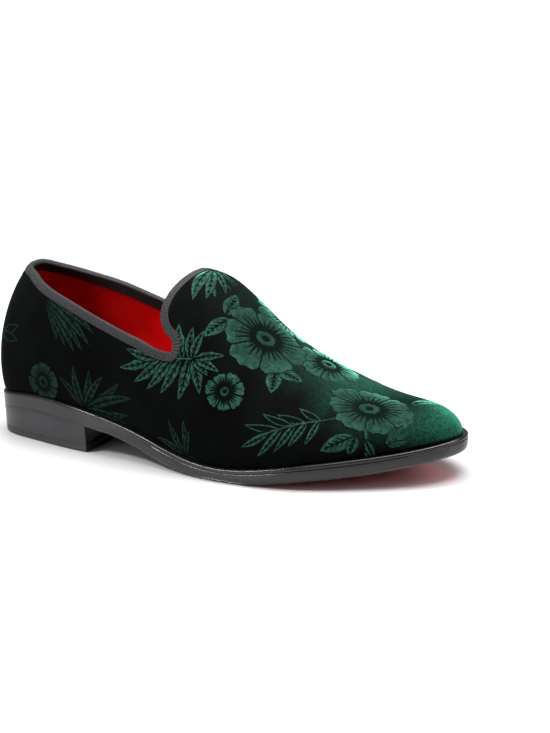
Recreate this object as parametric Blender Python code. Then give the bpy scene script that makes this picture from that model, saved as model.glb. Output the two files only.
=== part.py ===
"""One velvet slipper loafer, the right shoe, built from sections of its last.

Frame: X runs from the heel to the toe, Y across the foot with the outer side
negative, Z up from the floor.  Sizes are in metres and the tables hold shares
of the named sizes.
"""
import bpy
import numpy as np

# Named sizes.
LENGTH = 0.300            # length of the last that the along shares refer to
BALL_WIDTH = 0.103        # width across the ball, the unit of the across shares
INSTEP_HEIGHT = 0.100     # floor to the ridge of the instep
HEEL_HEIGHT = 0.025       # floor to the heel seat
WALL = 0.0024             # velvet, padding and lining together
CLEARANCE = 0.0003        # air left between pieces that meet
MARGIN = 0.010            # width of the upper turned in under the insole
MARGIN_THICKNESS = 0.0022
SOLE_EDGE = 0.0025        # how far the outsole stands out past the upper
GROOVE_DEPTH = 0.0006
GROOVE_TOP = 0.20         # share of the sole edge height where the groove starts
GROOVE_BOTTOM = 0.30
EDGE_ROUND = 0.0008       # rounding of the sole's two edges
ROUNDED_SHARE = 0.12      # share of the edge height that the lower rounding takes
HEEL_INSET = 0.0012       # heel block stands back from the sole edge
HEEL_TAPER = 0.0008       # and narrows by this towards the floor
BREAST = 0.2705           # front face of the heel, share of LENGTH
BREAST_HOLLOW = 0.0030    # how far the front face curves in at the middle
LIFT_THICKNESS = 0.0040
INSOLE_THICKNESS = 0.0026
RIBBON = 0.0008           # thickness of the binding ribbon
RIBBON_PROUD = 0.0003     # binding outside the velvet
RIBBON_PROUD_INSIDE = 0.0005
RIBBON_OUTSIDE = 0.0058   # leg of the binding on the velvet
RIBBON_INSIDE = 0.0085    # leg of the binding on the lining
RIBBON_SHOULDER = 0.0010  # where the fold of the ribbon ends and its legs start
RIBBON_BODY = 0.0022      # straight stretch of a leg below the shoulder
FOLD_RISE = 0.0006        # how far the fold stands above the collar line
FOLD_ROUND = 0.0009       # rounding of the fold's two corners
WALL_STEP = 0.0003        # slope from the thinned edge to the full wall
SMALL_ROUND = 0.0004      # broken edge on the heel, lift and insole
COLUMNS = 104             # ribs round the upper
FINE = 4000               # points of the outline that offsets are measured from
FINENESS = 6              # walked lines carry this many points for each rib
STATIONS = 48             # stations along each side of the sole
END_CROWDING = 0.55       # how strongly the stations crowd at heel and toe
HEEL_POINTS = 40          # points round the back of the heel
BREAST_POINTS = 12        # and across its front face

# Outline of the last where it meets the sole, heel to toe on the outer side
# and back on the inner side: along, across.
OUTLINE = [
    (0.0217, 0.000),
    (0.045, -0.197),
    (0.120, -0.278),
    (0.250, -0.343),
    (0.380, -0.366),
    (0.520, -0.456),
    (0.640, -0.478),
    (0.750, -0.430),
    (0.860, -0.283),
    (0.940, -0.129),
    (0.984, 0.097),
    (0.955, 0.235),
    (0.880, 0.350),
    (0.780, 0.435),
    (0.690, 0.455),
    (0.570, 0.395),
    (0.430, 0.295),
    (0.280, 0.285),
    (0.130, 0.305),
    (0.045, 0.205),
]
TOE_ROW = 10

# Cross sections: along, seat height as a share of HEEL_HEIGHT, how far the
# side wall stands up, how broad the crown is, and the bulge of the outer and
# inner side past the outline as shares of BALL_WIDTH.
SECTIONS = [
    (0.00, 0.884, 0.394, 0.550, 0.062, 0.062),
    (0.12, 1.080, 0.424, 0.600, 0.062, 0.062),
    (0.28, 0.972, 0.464, 0.600, 0.062, 0.052),
    (0.45, 0.536, 0.528, 0.773, 0.058, 0.049),
    (0.60, 0.316, 0.455, 0.647, -0.004, -0.004),
    (0.75, 0.536, 0.557, 0.546, 0.001, 0.001),
    (0.88, 0.728, 0.607, 0.603, -0.005, -0.005),
    (1.00, 0.940, 0.607, 0.603, -0.015, -0.015),
]

# Ridge line of the last: along, height as a share of INSTEP_HEIGHT, across.
RIDGE = [
    (0.10, 1.008, 0.000),
    (0.25, 1.076, 0.000),
    (0.40, 0.997, 0.056),
    (0.50, 0.971, 0.099),
    (0.60, 0.736, 0.081),
    (0.70, 0.550, 0.069),
    (0.80, 0.425, 0.069),
    (0.92, 0.392, 0.069),
]

# Which station of the ridge each station of the outline is joined to.
JOIN = [
    (0.00, 0.110),
    (0.08, 0.125),
    (0.20, 0.210),
    (0.35, 0.350),
    (0.50, 0.500),
    (0.65, 0.645),
    (0.80, 0.775),
    (0.92, 0.860),
    (1.00, 0.895),
]

# Collar and throat line laid out on the plan of the ribs: along, across, and
# the turn of the outline its rib runs down to.
COLLAR = [
    (0.097, 0.000, 0.000),
    (0.104, -0.040, 0.036),
    (0.120, -0.065, 0.056),
    (0.145, -0.096, 0.074),
    (0.175, -0.124, 0.090),
    (0.215, -0.150, 0.111),
    (0.251, -0.166, 0.129),
    (0.290, -0.175, 0.148),
    (0.330, -0.178, 0.166),
    (0.368, -0.181, 0.184),
    (0.407, -0.188, 0.201),
    (0.445, -0.203, 0.219),
    (0.468, -0.206, 0.232),
    (0.482, -0.197, 0.252),
    (0.480, -0.178, 0.323),
    (0.464, -0.158, 0.376),
    (0.447, -0.134, 0.406),
    (0.437, -0.102, 0.426),
    (0.436, -0.062, 0.444),
    (0.439, -0.022, 0.460),
    (0.443, 0.018, 0.476),
    (0.447, 0.062, 0.493),
    (0.450, 0.100, 0.510),
    (0.4505, 0.135, 0.528),
    (0.451, 0.162, 0.547),
    (0.457, 0.185, 0.572),
    (0.469, 0.203, 0.615),
    (0.480, 0.216, 0.680),
    (0.4825, 0.229, 0.735),
    (0.472, 0.236, 0.755),
    (0.450, 0.228, 0.769),
    (0.420, 0.206, 0.787),
    (0.385, 0.181, 0.806),
    (0.340, 0.161, 0.828),
    (0.285, 0.147, 0.850),
    (0.230, 0.139, 0.877),
    (0.176, 0.125, 0.905),
    (0.140, 0.101, 0.925),
    (0.115, 0.070, 0.944),
    (0.101, 0.032, 0.970),
]

# Underside of the sole: along, height as a share of HEEL_HEIGHT.  It is held
# at the floor between the two zero rows.
UNDERSIDE = [
    (0.00, 0.560),
    (0.12, 0.740),
    (0.26, 0.636),
    (0.36, 0.408),
    (0.46, 0.112),
    (0.53, 0.000),
    (0.65, 0.000),
    (0.74, 0.152),
    (0.84, 0.288),
    (0.93, 0.452),
    (1.00, 0.596),
]

# Rows of the upper from the foot of the binding to the outline.
SIDE_ROWS = [0.14, 0.29, 0.44, 0.58, 0.71, 0.82, 0.91, 0.97]
INNER_ROWS = [0.25, 0.50, 0.72, 0.88, 0.96]


def spline(knots, values, closed=False):
    """Smooth curve through the values, as a function of the knot axis."""
    x = np.asarray(knots, float)
    y = np.asarray(values, float)
    single = y.ndim == 1
    if single:
        y = y[:, None]
    count = len(x)
    step = np.diff(x)
    bend = np.zeros_like(y)
    if closed:
        size = count - 1
        grid = np.zeros((size, size))
        right = np.zeros((size, y.shape[1]))
        for i in range(size):
            before = step[i - 1]
            after = step[i]
            previous = y[i - 1] if i else y[size - 1]
            grid[i, (i - 1) % size] += before
            grid[i, i] += 2 * (before + after)
            grid[i, (i + 1) % size] += after
            right[i] = 6 * ((y[i + 1] - y[i]) / after - (y[i] - previous) / before)
        bend[:size] = np.linalg.solve(grid, right)
        bend[size] = bend[0]
    else:
        grid = np.eye(count)
        right = np.zeros_like(y)
        for i in range(1, count - 1):
            before = step[i - 1]
            after = step[i]
            grid[i, i - 1:i + 2] = before, 2 * (before + after), after
            right[i] = 6 * ((y[i + 1] - y[i]) / after - (y[i] - y[i - 1]) / before)
        bend = np.linalg.solve(grid, right)

    def at(q):
        q = np.asarray(q, float)
        i = np.clip(np.searchsorted(x, q, side="right") - 1, 0, count - 2)
        a = ((x[i + 1] - q) / step[i])[..., None]
        b = ((q - x[i]) / step[i])[..., None]
        pull = (step[i] ** 2)[..., None] / 6
        out = a * y[i] + b * y[i + 1]
        out = out + ((a ** 3 - a) * bend[i] + (b ** 3 - b) * bend[i + 1]) * pull
        return out[..., 0] if single else out
    return at


def chord_lengths(points):
    """Running length along a row of points, starting at nought."""
    steps = np.linalg.norm(np.diff(points, axis=0), axis=1)
    return np.concatenate([[0.0], np.cumsum(steps)])


def unit(vectors):
    """The vectors at length one."""
    return vectors / np.maximum(np.linalg.norm(vectors, axis=-1, keepdims=True), 1e-12)


outline_rows = np.array(OUTLINE) * [LENGTH, BALL_WIDTH]
outline_loop = np.vstack([outline_rows, outline_rows[:1]])
outline_length = chord_lengths(outline_loop)
outline_curve = spline(outline_length, outline_loop, closed=True)

section_rows = np.array(SECTIONS)
section_scale = [HEEL_HEIGHT, 1.0, 1.0, BALL_WIDTH, BALL_WIDTH]
section_curve = spline(section_rows[:, 0] * LENGTH, section_rows[:, 1:] * section_scale)

ridge_rows = np.array(RIDGE)
ridge_curve = spline(ridge_rows[:, 0] * LENGTH, ridge_rows[:, 1:] * [INSTEP_HEIGHT, BALL_WIDTH])

join_rows = np.array(JOIN) * LENGTH
join_curve = spline(join_rows[:, 0], join_rows[:, 1])

underside_rows = np.array(UNDERSIDE) * [LENGTH, HEEL_HEIGHT]
underside_curve = spline(underside_rows[:, 0], underside_rows[:, 1])


def outline(turn):
    """Point of the outline; turn 0 is the heel, 0.5 the toe, 1 the heel again."""
    turn = np.mod(turn, 1.0)
    toe = outline_length[TOE_ROW]
    rest = outline_length[-1] - toe
    length = np.where(turn < 0.5, turn * 2 * toe, toe + (turn - 0.5) * 2 * rest)
    return outline_curve(length)


def seat_height(along):
    """Height of the last's bottom edge over the floor."""
    return section_curve(np.clip(along, 0.0, LENGTH))[..., 0]


def sole_height(along):
    """Height of the outsole's underside over the floor."""
    return np.maximum(underside_curve(np.clip(along, 0.0, LENGTH)), 0.0)


def rib(turn):
    """Foot, section numbers, ridge point in plan, ridge height and slope."""
    foot = outline(turn)
    numbers = section_curve(np.clip(foot[..., 0], 0.0, LENGTH))
    along = join_curve(np.clip(foot[..., 0], 0.0, LENGTH))
    ridge = ridge_curve(along)
    nudge = 0.0005
    rise = ridge_curve(along + nudge)[..., 0] - ridge_curve(along - nudge)[..., 0]
    top = np.stack([along, ridge[..., 1]], -1)
    return foot, numbers, top, ridge[..., 0], rise / (2 * nudge)


def last_surface(turn, up):
    """Point of the last's skin; up is 0 at the outline and 1 at the ridge."""
    foot, numbers, top, top_height, slope = rib(turn)
    out = foot - top
    outward = unit(out)
    outer_share = 0.5 - 0.5 * outward[..., 1]
    bulge = numbers[..., 3] * outer_share + numbers[..., 4] * (1 - outer_share)
    base = numbers[..., 0]
    height = top_height - base
    t = np.asarray(up, float)[..., None]
    p0 = np.concatenate([foot, base[..., None]], -1)
    side = foot + outward * bulge[..., None]
    p1 = np.concatenate([side, (base + numbers[..., 1] * height)[..., None]], -1)
    crown = top + out * numbers[..., 2][..., None]
    crown_height = top_height + slope * (crown[..., 0] - top[..., 0])
    p2 = np.concatenate([crown, crown_height[..., None]], -1)
    p3 = np.concatenate([top, top_height[..., None]], -1)
    s = 1 - t
    return s ** 3 * p0 + 3 * s * s * t * p1 + 3 * s * t * t * p2 + t ** 3 * p3


def ridge_across(along):
    """Across position of the line that parts the two sides of the plan."""
    heel = outline(0.0)
    toe = outline(0.5)
    start = join_curve(0.0)
    stop = join_curve(LENGTH)
    xs = start + (stop - start) * np.linspace(0.0, 1.0, 40)
    line_x = np.concatenate([[heel[0]], xs, [toe[0]]])
    line_y = np.concatenate([[heel[1]], ridge_curve(xs)[..., 1], [toe[1]]])
    return np.interp(along, line_x, line_y)


def locate(plan):
    """Turn and up of points on the plan of the ribs."""
    outer = plan[..., 1] <= ridge_across(plan[..., 0])
    low = np.where(outer, 0.0, 0.5)
    high = np.where(outer, 0.5, 1.0)
    for _ in range(28):
        middle = (low + high) / 2
        foot, _numbers, top, _height, _slope = rib(middle)
        arm = foot - top
        reach = plan - top
        ahead = arm[..., 0] * reach[..., 1] - arm[..., 1] * reach[..., 0] > 0
        low = np.where(ahead, middle, low)
        high = np.where(ahead, high, middle)
    turn = (low + high) / 2
    foot, _numbers, top, _height, _slope = rib(turn)
    arm = foot - top
    up = 1 - np.sum((plan - top) * arm, -1) / np.sum(arm * arm, -1)
    return turn, up


def skin(plan):
    """Points of the last's skin over points of the plan."""
    turn, up = locate(plan)
    return last_surface(turn, up)


def skin_frame(plan):
    """Skin points, outward directions and the two slopes over the plan."""
    nudge = 0.00015
    ahead = skin(plan + [nudge, 0]) - skin(plan - [nudge, 0])
    aside = skin(plan + [0, nudge]) - skin(plan - [0, nudge])
    ahead = ahead / (2 * nudge)
    aside = aside / (2 * nudge)
    return skin(plan), unit(np.cross(ahead, aside)), ahead, aside


def around(ring):
    """Direction along a closed ring of points."""
    return unit(np.roll(ring, -1, axis=0) - np.roll(ring, 1, axis=0))


def walk(plan, distance):
    """Move plan points away from the opening by a distance along the skin."""
    steps = max(1, int(np.ceil(abs(distance) / 0.0012)))
    for _ in range(steps):
        points, normal, ahead, aside = skin_frame(plan)
        away = unit(np.cross(around(points), normal)) * distance / steps
        a = np.sum(ahead * ahead, -1)
        b = np.sum(ahead * aside, -1)
        c = np.sum(aside * aside, -1)
        p = np.sum(ahead * away, -1)
        q = np.sum(aside * away, -1)
        det = a * c - b * b
        plan = plan + np.stack([(c * p - b * q) / det, (a * q - b * p) / det], -1)
    return plan


def collar_line():
    """Plan points of the collar line and the outline turn under each of them."""
    rows = np.array(COLLAR)
    loop = np.vstack([rows, [rows[0, 0], rows[0, 1], 1.0]])
    loop[:, 0] *= LENGTH
    loop[:, 1] *= BALL_WIDTH
    knots = chord_lengths(loop[:, :2])
    curve = spline(knots, loop[:, :2], closed=True)
    fine = np.linspace(0.0, knots[-1], 1600)
    feet = np.interp(fine, knots, loop[:, 2])
    for _ in range(120):
        feet[1:-1] = (feet[:-2] + feet[1:-1] + feet[2:]) / 3
    points = skin(curve(fine))
    line = chord_lengths(points)
    bend = np.linalg.norm(np.diff(unit(np.diff(points, axis=0)), axis=0), axis=1)
    bend = np.concatenate([[0.0], np.cumsum(bend), [bend.sum()]])
    spread = 0.34 * line / line[-1] + 0.44 * feet + 0.22 * bend / bend[-1]
    want = np.arange(COLUMNS * FINENESS) / (COLUMNS * FINENESS)
    at = np.interp(want, spread, fine)
    return curve(at), np.interp(want, spread, feet)


def ribs(plan):
    """Only the points of a walked line that carry a rib."""
    return plan[::FINENESS]


def offset(plan, distance):
    """Skin points pushed along the outward direction."""
    points, normal, _ahead, _aside = skin_frame(plan)
    return points + normal * distance


def height_on_lining(start, feet, rise):
    """How far down each rib the lining stands at a rise over the seat."""
    low = np.full(len(start), 0.30)
    high = np.ones(len(start))
    for _ in range(20):
        middle = (low + high) / 2
        plan = start + (feet - start) * middle[:, None]
        points = offset(plan, -WALL)
        above = points[:, 2] > seat_height(points[:, 0]) + rise
        low = np.where(above, middle, low)
        high = np.where(above, high, middle)
    return (low + high) / 2


def inset_ring(ring, distance):
    """Closed plan ring moved inwards by a distance."""
    along = around(ring)
    inward = np.stack([-along[:, 1], along[:, 0]], -1)
    return ring + inward * distance


def at_height(plan, height):
    """Plan ring lifted to the heights."""
    return np.column_stack([plan, height])


def ring_solid(name, rings, look):
    """One closed body whose rings follow each other round a tube."""
    count = len(rings[0])
    points = np.vstack(rings)
    faces = []
    total = len(rings)
    for row in range(total):
        below = (row + 1) % total
        for column in range(count):
            beside = (column + 1) % count
            faces.append((
                row * count + column,
                below * count + column,
                below * count + beside,
                row * count + beside,
            ))
    return make_object(name, points, faces, look)


def capped_solid(name, rings, look):
    """One closed body from stacked rings, closed by strips at both ends."""
    count = len(rings[0])
    points = np.vstack(rings)
    faces = []
    for row in range(len(rings) - 1):
        for column in range(count):
            beside = (column + 1) % count
            faces.append((
                row * count + column,
                (row + 1) * count + column,
                (row + 1) * count + beside,
                row * count + beside,
            ))
    last_row = (len(rings) - 1) * count
    half = count // 2
    for k in range(half):
        a, b = k, k + 1
        c, d = (count - k - 1) % count, (count - k) % count
        strip = [a, b, c, d]
        if k == 0:
            strip = [a, b, c]
        if k == half - 1:
            strip = [a, b, d]
        faces.append(tuple(strip))
        faces.append(tuple(last_row + index for index in reversed(strip)))
    return make_object(name, points, faces, look)


def make_object(name, points, faces, look):
    """Mesh object with its own material."""
    mesh = bpy.data.meshes.new(name)
    mesh.from_pydata([tuple(point) for point in points], [], faces)
    mesh.validate()
    thing = bpy.data.objects.new(name, mesh)
    bpy.context.scene.collection.objects.link(thing)
    colour, roughness, metallic = look
    material = bpy.data.materials.new(name)
    material.use_nodes = True
    shader = material.node_tree.nodes["Principled BSDF"]
    shader.inputs["Base Color"].default_value = (*colour, 1.0)
    shader.inputs["Roughness"].default_value = roughness
    shader.inputs["Metallic"].default_value = metallic
    material.diffuse_color = (*colour, 1.0)
    mesh.materials.append(material)
    return thing


def build_upper(collar, turns):
    """Hollow upper: thin under the binding, full wall below, turned in at the sole."""
    thin_out = RIBBON_PROUD - RIBBON - CLEARANCE
    thin_in = RIBBON + CLEARANCE - WALL - RIBBON_PROUD_INSIDE
    edge = walk(collar, RIBBON_SHOULDER + CLEARANCE)
    middle = walk(edge, RIBBON_BODY)
    recess = walk(middle, RIBBON_OUTSIDE - RIBBON_SHOULDER - RIBBON_BODY)
    full = walk(recess, WALL_STEP)
    inside = walk(full, RIBBON_INSIDE - RIBBON_OUTSIDE - WALL_STEP)
    inside_full = ribs(walk(inside, WALL_STEP))
    edge, middle, recess, full, inside = map(ribs, (edge, middle, recess, full, inside))
    turns = ribs(turns)
    feet = outline(turns)
    rings = [offset(edge, thin_in), offset(edge, thin_out), offset(middle, thin_out)]
    rings += [offset(recess, thin_out), skin(full)]
    for share in SIDE_ROWS:
        rings.append(skin(full + (feet - full) * share))
    rings.append(at_height(feet, seat_height(feet[:, 0])))
    turned = margin_edge(turns)
    rings.append(at_height(turned, seat_height(turned[:, 0])))
    rings.append(at_height(turned, seat_height(turned[:, 0]) + MARGIN_THICKNESS))
    corner = height_on_lining(inside_full, feet, MARGIN_THICKNESS)
    lining = []
    for share in INNER_ROWS + [1.0]:
        plan = inside_full + (feet - inside_full) * (corner * share)[:, None]
        lining.append(offset(plan, -WALL))
    rings += reversed(lining)
    rings += [offset(inside_full, -WALL), offset(inside, thin_in), offset(middle, thin_in)]
    return ring_solid("upper", rings, ((0.010, 0.060, 0.045), 0.85, 0.0))


def margin_edge(turns):
    """Plan ring of the inner edge of the turned-in margin."""
    fine = outline(np.linspace(0.0, 1.0, 720, endpoint=False))
    ring = inset_ring(fine, MARGIN)
    spots = np.arange(721) / 720
    closed = np.vstack([ring, ring[:1]])
    along = np.interp(turns, spots, closed[:, 0])
    across = np.interp(turns, spots, closed[:, 1])
    return np.column_stack([along, across])


def build_binding(collar):
    """Ribbon folded over the collar edge, one leg outside and one inside."""
    points, normal, _ahead, _aside = skin_frame(collar)
    rise = ribs(unit(np.cross(normal, around(points))))
    points, normal = ribs(points), ribs(normal)
    out = RIBBON_PROUD
    inner = -WALL - RIBBON_PROUD_INSIDE
    top = walk(collar, RIBBON_SHOULDER)
    middle = walk(top, RIBBON_BODY)
    foot = walk(middle, RIBBON_OUTSIDE - RIBBON_SHOULDER - RIBBON_BODY)
    inside = ribs(walk(foot, RIBBON_INSIDE - RIBBON_OUTSIDE))
    top, middle, foot = map(ribs, (top, middle, foot))
    corner_rise = rise * FOLD_RISE / 3
    rings = [points + normal * (inner + FOLD_ROUND) + corner_rise]
    rings += [points + normal * (inner + out) / 2 + rise * FOLD_RISE]
    rings += [points + normal * (out - FOLD_ROUND) + corner_rise]
    rings += [offset(plan, out) for plan in (top, middle, foot)]
    rings += [offset(plan, out - RIBBON) for plan in (foot, middle, top)]
    rings += [offset(plan, inner + RIBBON) for plan in (top, middle, inside)]
    rings += [offset(plan, inner) for plan in (inside, middle, top)]
    return ring_solid("binding", rings, ((0.035, 0.036, 0.040), 0.70, 0.0))


def spread_outline(spread):
    """Fine outline moved outwards by one number, or one for each point."""
    fine = np.arange(FINE + 1) / FINE
    nudge = 1.6 / FINE
    direction = unit(outline(fine + nudge) - outline(fine - nudge))
    across = np.stack([direction[:, 1], -direction[:, 0]], -1)
    return outline(fine) + across * np.broadcast_to(spread, FINE + 1)[:, None]


def sole_ring(spread):
    """Plan ring round the sole with matching stations on both sides."""
    plan = spread_outline(spread)
    heel = np.argmin(plan[:, 0])
    heel = heel if heel < FINE / 2 else heel - FINE
    toe = np.argmax(plan[:, 0])
    outer = plan[np.arange(heel, toe + 1) % FINE]
    inner = plan[np.arange(toe, heel + FINE + 1) % FINE][::-1]
    even = np.linspace(0.0, 1.0, STATIONS + 1)
    eased = (1 - np.cos(np.pi * even)) / 2
    share = END_CROWDING * eased + (1 - END_CROWDING) * even
    first = outer[0, 0]
    stations = first + (outer[-1, 0] - first) * share
    left = np.interp(stations, np.maximum.accumulate(outer[:, 0]), outer[:, 1])
    right = np.interp(stations, np.maximum.accumulate(inner[:, 0]), inner[:, 1])
    forward = np.column_stack([stations, left])
    back = np.column_stack([stations, right])[1:-1][::-1]
    return np.vstack([forward, back])


def build_outsole():
    """Outsole with arch, toe spring and a groove round its edge."""
    rows = [
        (SOLE_EDGE - EDGE_ROUND, 0.0),
        (SOLE_EDGE, ROUNDED_SHARE / 2),
        (SOLE_EDGE, GROOVE_TOP),
        (SOLE_EDGE - GROOVE_DEPTH, (GROOVE_TOP + GROOVE_BOTTOM) / 2),
        (SOLE_EDGE, GROOVE_BOTTOM),
        (SOLE_EDGE, 1 - ROUNDED_SHARE),
        (SOLE_EDGE - EDGE_ROUND, 1.0),
    ]
    rings = []
    for spread, share in rows:
        plan = sole_ring(spread)
        top = seat_height(plan[:, 0]) - CLEARANCE
        bottom = sole_height(plan[:, 0])
        rings.append(at_height(plan, top + (bottom - top) * share))
    return capped_solid("outsole", rings, ((0.020, 0.020, 0.022), 0.35, 0.0))


def heel_ring(spread):
    """Plan ring of the heel with its hollow front face."""
    plan = spread_outline(spread)
    front = BREAST * LENGTH
    middle = FINE // 2
    stop = np.argmax(plan[:middle, 0] > front)
    start = middle + np.argmax(plan[middle:, 0] < front)
    arc = np.vstack([plan[start:FINE], plan[:stop]])
    length = chord_lengths(arc)
    want = np.linspace(0.0, length[-1], HEEL_POINTS + 1)
    arc = np.column_stack([np.interp(want, length, arc[:, 0]), np.interp(want, length, arc[:, 1])])
    share = np.linspace(0.0, 1.0, BREAST_POINTS + 1)[1:-1]
    face = arc[-1] + (arc[0] - arc[-1]) * share[:, None]
    face[:, 0] -= BREAST_HOLLOW * 4 * share * (1 - share)
    return np.vstack([arc, face])


def heel_solid(name, rows, look):
    """Stacked heel rings closed with fans of strips across."""
    rings = []
    for spread, height in rows:
        plan = heel_ring(spread)
        level = height(plan[:, 0]) if callable(height) else np.full(len(plan), height)
        rings.append(at_height(plan, level))
    rings = [np.roll(ring, -HEEL_POINTS // 2, axis=0) for ring in rings]
    return capped_solid(name, rings, look)


def build_heel_block():
    """Heel block under the sole, down to the top lift."""
    def top(along):
        return sole_height(along) - CLEARANCE
    spread = SOLE_EDGE - HEEL_INSET
    rows = [
        (spread - SMALL_ROUND, top),
        (spread, lambda along: top(along) - SMALL_ROUND),
        (spread - HEEL_TAPER, LIFT_THICKNESS + CLEARANCE + SMALL_ROUND),
        (spread - HEEL_TAPER - SMALL_ROUND, LIFT_THICKNESS + CLEARANCE),
    ]
    return heel_solid("heel_block", rows, ((0.020, 0.020, 0.022), 0.38, 0.0))


def build_top_lift():
    """Wearing piece under the heel."""
    spread = SOLE_EDGE - HEEL_INSET - HEEL_TAPER
    rows = [
        (spread - SMALL_ROUND, LIFT_THICKNESS),
        (spread, LIFT_THICKNESS - SMALL_ROUND),
        (spread, SMALL_ROUND),
        (spread - SMALL_ROUND, 0.0),
    ]
    return heel_solid("top_lift", rows, ((0.012, 0.012, 0.013), 0.60, 0.0))


def lining_depth(start, feet, rise):
    """How far the lining stands inside the outline at a rise, for each fine turn."""
    share = height_on_lining(start, feet, rise)
    points = offset(start + (feet - start) * share[:, None], -WALL)
    parts = np.arange(5)[:, None, None] / 5
    between = points + (np.roll(points, -1, axis=0) - points) * parts
    points = between.transpose(1, 0, 2).reshape(-1, 3)
    turns = np.linspace(0.0, 1.0, 1440, endpoint=False)
    gaps = np.linalg.norm(points[:, None, :2] - outline(turns)[None], axis=-1)
    at = turns[gaps.argmin(axis=1)]
    order = np.argsort(at)
    fine = np.arange(FINE + 1) / FINE
    return np.interp(fine, at[order], gaps.min(axis=1)[order], period=1.0)


def build_insole(collar, turns):
    """Footbed lying on the turned-in margin, with a plug that fills its middle."""
    start = ribs(walk(collar, RIBBON_INSIDE + 2 * CLEARANCE))
    feet = outline(ribs(turns))
    bed = MARGIN_THICKNESS + CLEARANCE
    top = bed + INSOLE_THICKNESS
    low_wall = lining_depth(start, feet, bed)
    high_wall = lining_depth(start, feet, top)
    rows = [
        (high_wall + CLEARANCE + SMALL_ROUND, top),
        (high_wall + CLEARANCE, top - SMALL_ROUND),
        (np.maximum(low_wall, high_wall) + CLEARANCE, bed),
        (MARGIN + CLEARANCE, bed),
        (MARGIN + CLEARANCE + SMALL_ROUND, 0.0),
    ]
    rings = []
    for spread, height in rows:
        ring = sole_ring(-spread)
        rings.append(at_height(ring, seat_height(ring[:, 0]) + height))
    return capped_solid("insole", rings, ((0.330, 0.012, 0.012), 0.45, 0.0))


def clear_scene():
    """Start from an empty scene."""
    for thing in list(bpy.data.objects):
        bpy.data.objects.remove(thing, do_unlink=True)


def centre(things):
    """Put the origin at the bottom centre of the whole shoe."""
    clouds = [np.array([v.co[:] for v in thing.data.vertices]) for thing in things]
    points = np.vstack(clouds)
    low = points.min(axis=0)
    high = points.max(axis=0)
    shift = np.array([(low[0] + high[0]) / 2, (low[1] + high[1]) / 2, low[2]])
    for thing, cloud in zip(things, clouds):
        thing.data.vertices.foreach_set("co", (cloud - shift).ravel())
        thing.data.update()


def main():
    """Build every piece of the shoe."""
    clear_scene()
    collar, turns = collar_line()
    things = [
        build_upper(collar, turns),
        build_binding(collar),
        build_outsole(),
        build_heel_block(),
        build_top_lift(),
        build_insole(collar, turns),
    ]
    centre(things)


main()
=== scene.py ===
import math

import bmesh
import bpy
import numpy as np
from mathutils import Matrix, Vector


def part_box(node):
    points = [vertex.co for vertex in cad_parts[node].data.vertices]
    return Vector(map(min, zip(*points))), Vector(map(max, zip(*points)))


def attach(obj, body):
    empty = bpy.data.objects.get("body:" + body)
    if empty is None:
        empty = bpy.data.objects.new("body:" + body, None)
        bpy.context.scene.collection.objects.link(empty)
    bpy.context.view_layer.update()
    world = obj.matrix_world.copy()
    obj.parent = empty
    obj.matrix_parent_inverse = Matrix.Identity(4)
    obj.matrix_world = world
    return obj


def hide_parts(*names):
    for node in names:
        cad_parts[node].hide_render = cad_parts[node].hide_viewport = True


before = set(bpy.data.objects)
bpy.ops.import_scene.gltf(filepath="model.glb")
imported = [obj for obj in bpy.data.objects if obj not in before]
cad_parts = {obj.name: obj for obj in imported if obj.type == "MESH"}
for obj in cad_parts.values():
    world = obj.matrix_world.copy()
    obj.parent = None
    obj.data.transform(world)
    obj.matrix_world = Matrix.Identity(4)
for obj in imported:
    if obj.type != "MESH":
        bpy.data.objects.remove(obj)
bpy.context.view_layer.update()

# A velvet slipper for the right foot.  The script lays out the same last as
# the CAD, draws the pressed flowers on it, builds each piece in full detail,
# and then gives the looks, the light and the camera.

# Sizes in metres, unless a comment says otherwise.
MM = 0.001
LENGTH = 0.300
BALL_WIDTH = 0.103
INSTEP_HEIGHT = 0.100
HEEL_HEIGHT = 0.025
WALL = 0.0024             # velvet, padding and lining together
CLOTH = 0.0012            # share of the wall that is velvet and its backing
CLEARANCE = 0.0003
MARGIN = 0.010
MARGIN_THICKNESS = 0.0022
SOLE_EDGE = 0.0025
GROOVE_TOP = 0.20         # share of the sole's height, down from the upper
GROOVE_BOTTOM = 0.29      # the same
HEEL_TAPER = 0.0008
BREAST = 0.2705           # place of the heel's front face, share of the length
BREAST_HOLLOW = 0.0030
LIFT_THICKNESS = 0.0040
INSOLE_THICKNESS = 0.0026
RIBBON = 0.0008
RIBBON_PROUD = 0.0003
RIBBON_PROUD_INSIDE = 0.0005
RIBBON_INSIDE = 0.0085    # the CAD ribbon's reach inside; the footbed's edge is looked for below it
RIB_PITCH = 1.25          # mm between the ribs of the grosgrain, coarser than real to show
RIBBON_SEEN = 4.4         # mm of ribbon outside, measured from the fold
RIBBON_BACK = 7.2         # and inside
CORNER_ROUND = 0.0030     # the ribbon eases round the corners of the throat over this
WALK_STEP = 0.0012        # longest step along the skin
NUDGE = 0.0004            # small distance over which a slope is taken
HALVINGS = 22             # times a search halves its range
FINE = 4000               # points of a fine curve

# Mesh densities.
VELVET_COLUMNS = 1170
VELVET_ROWS = 220
LINING_COLUMNS = 480
BINDING_COLUMNS = 2160
INSOLE_COLUMNS = 360
SOLE_STATIONS = 260
HEEL_COLUMNS = 240        # round the back of the heel
BREAST_COLUMNS = 80       # across its front face
SOLE_STRIPS = 20          # from the outer to the inner edge of the flat faces
HEEL_STRIPS = 10
INSOLE_STRIPS = 16

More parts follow.
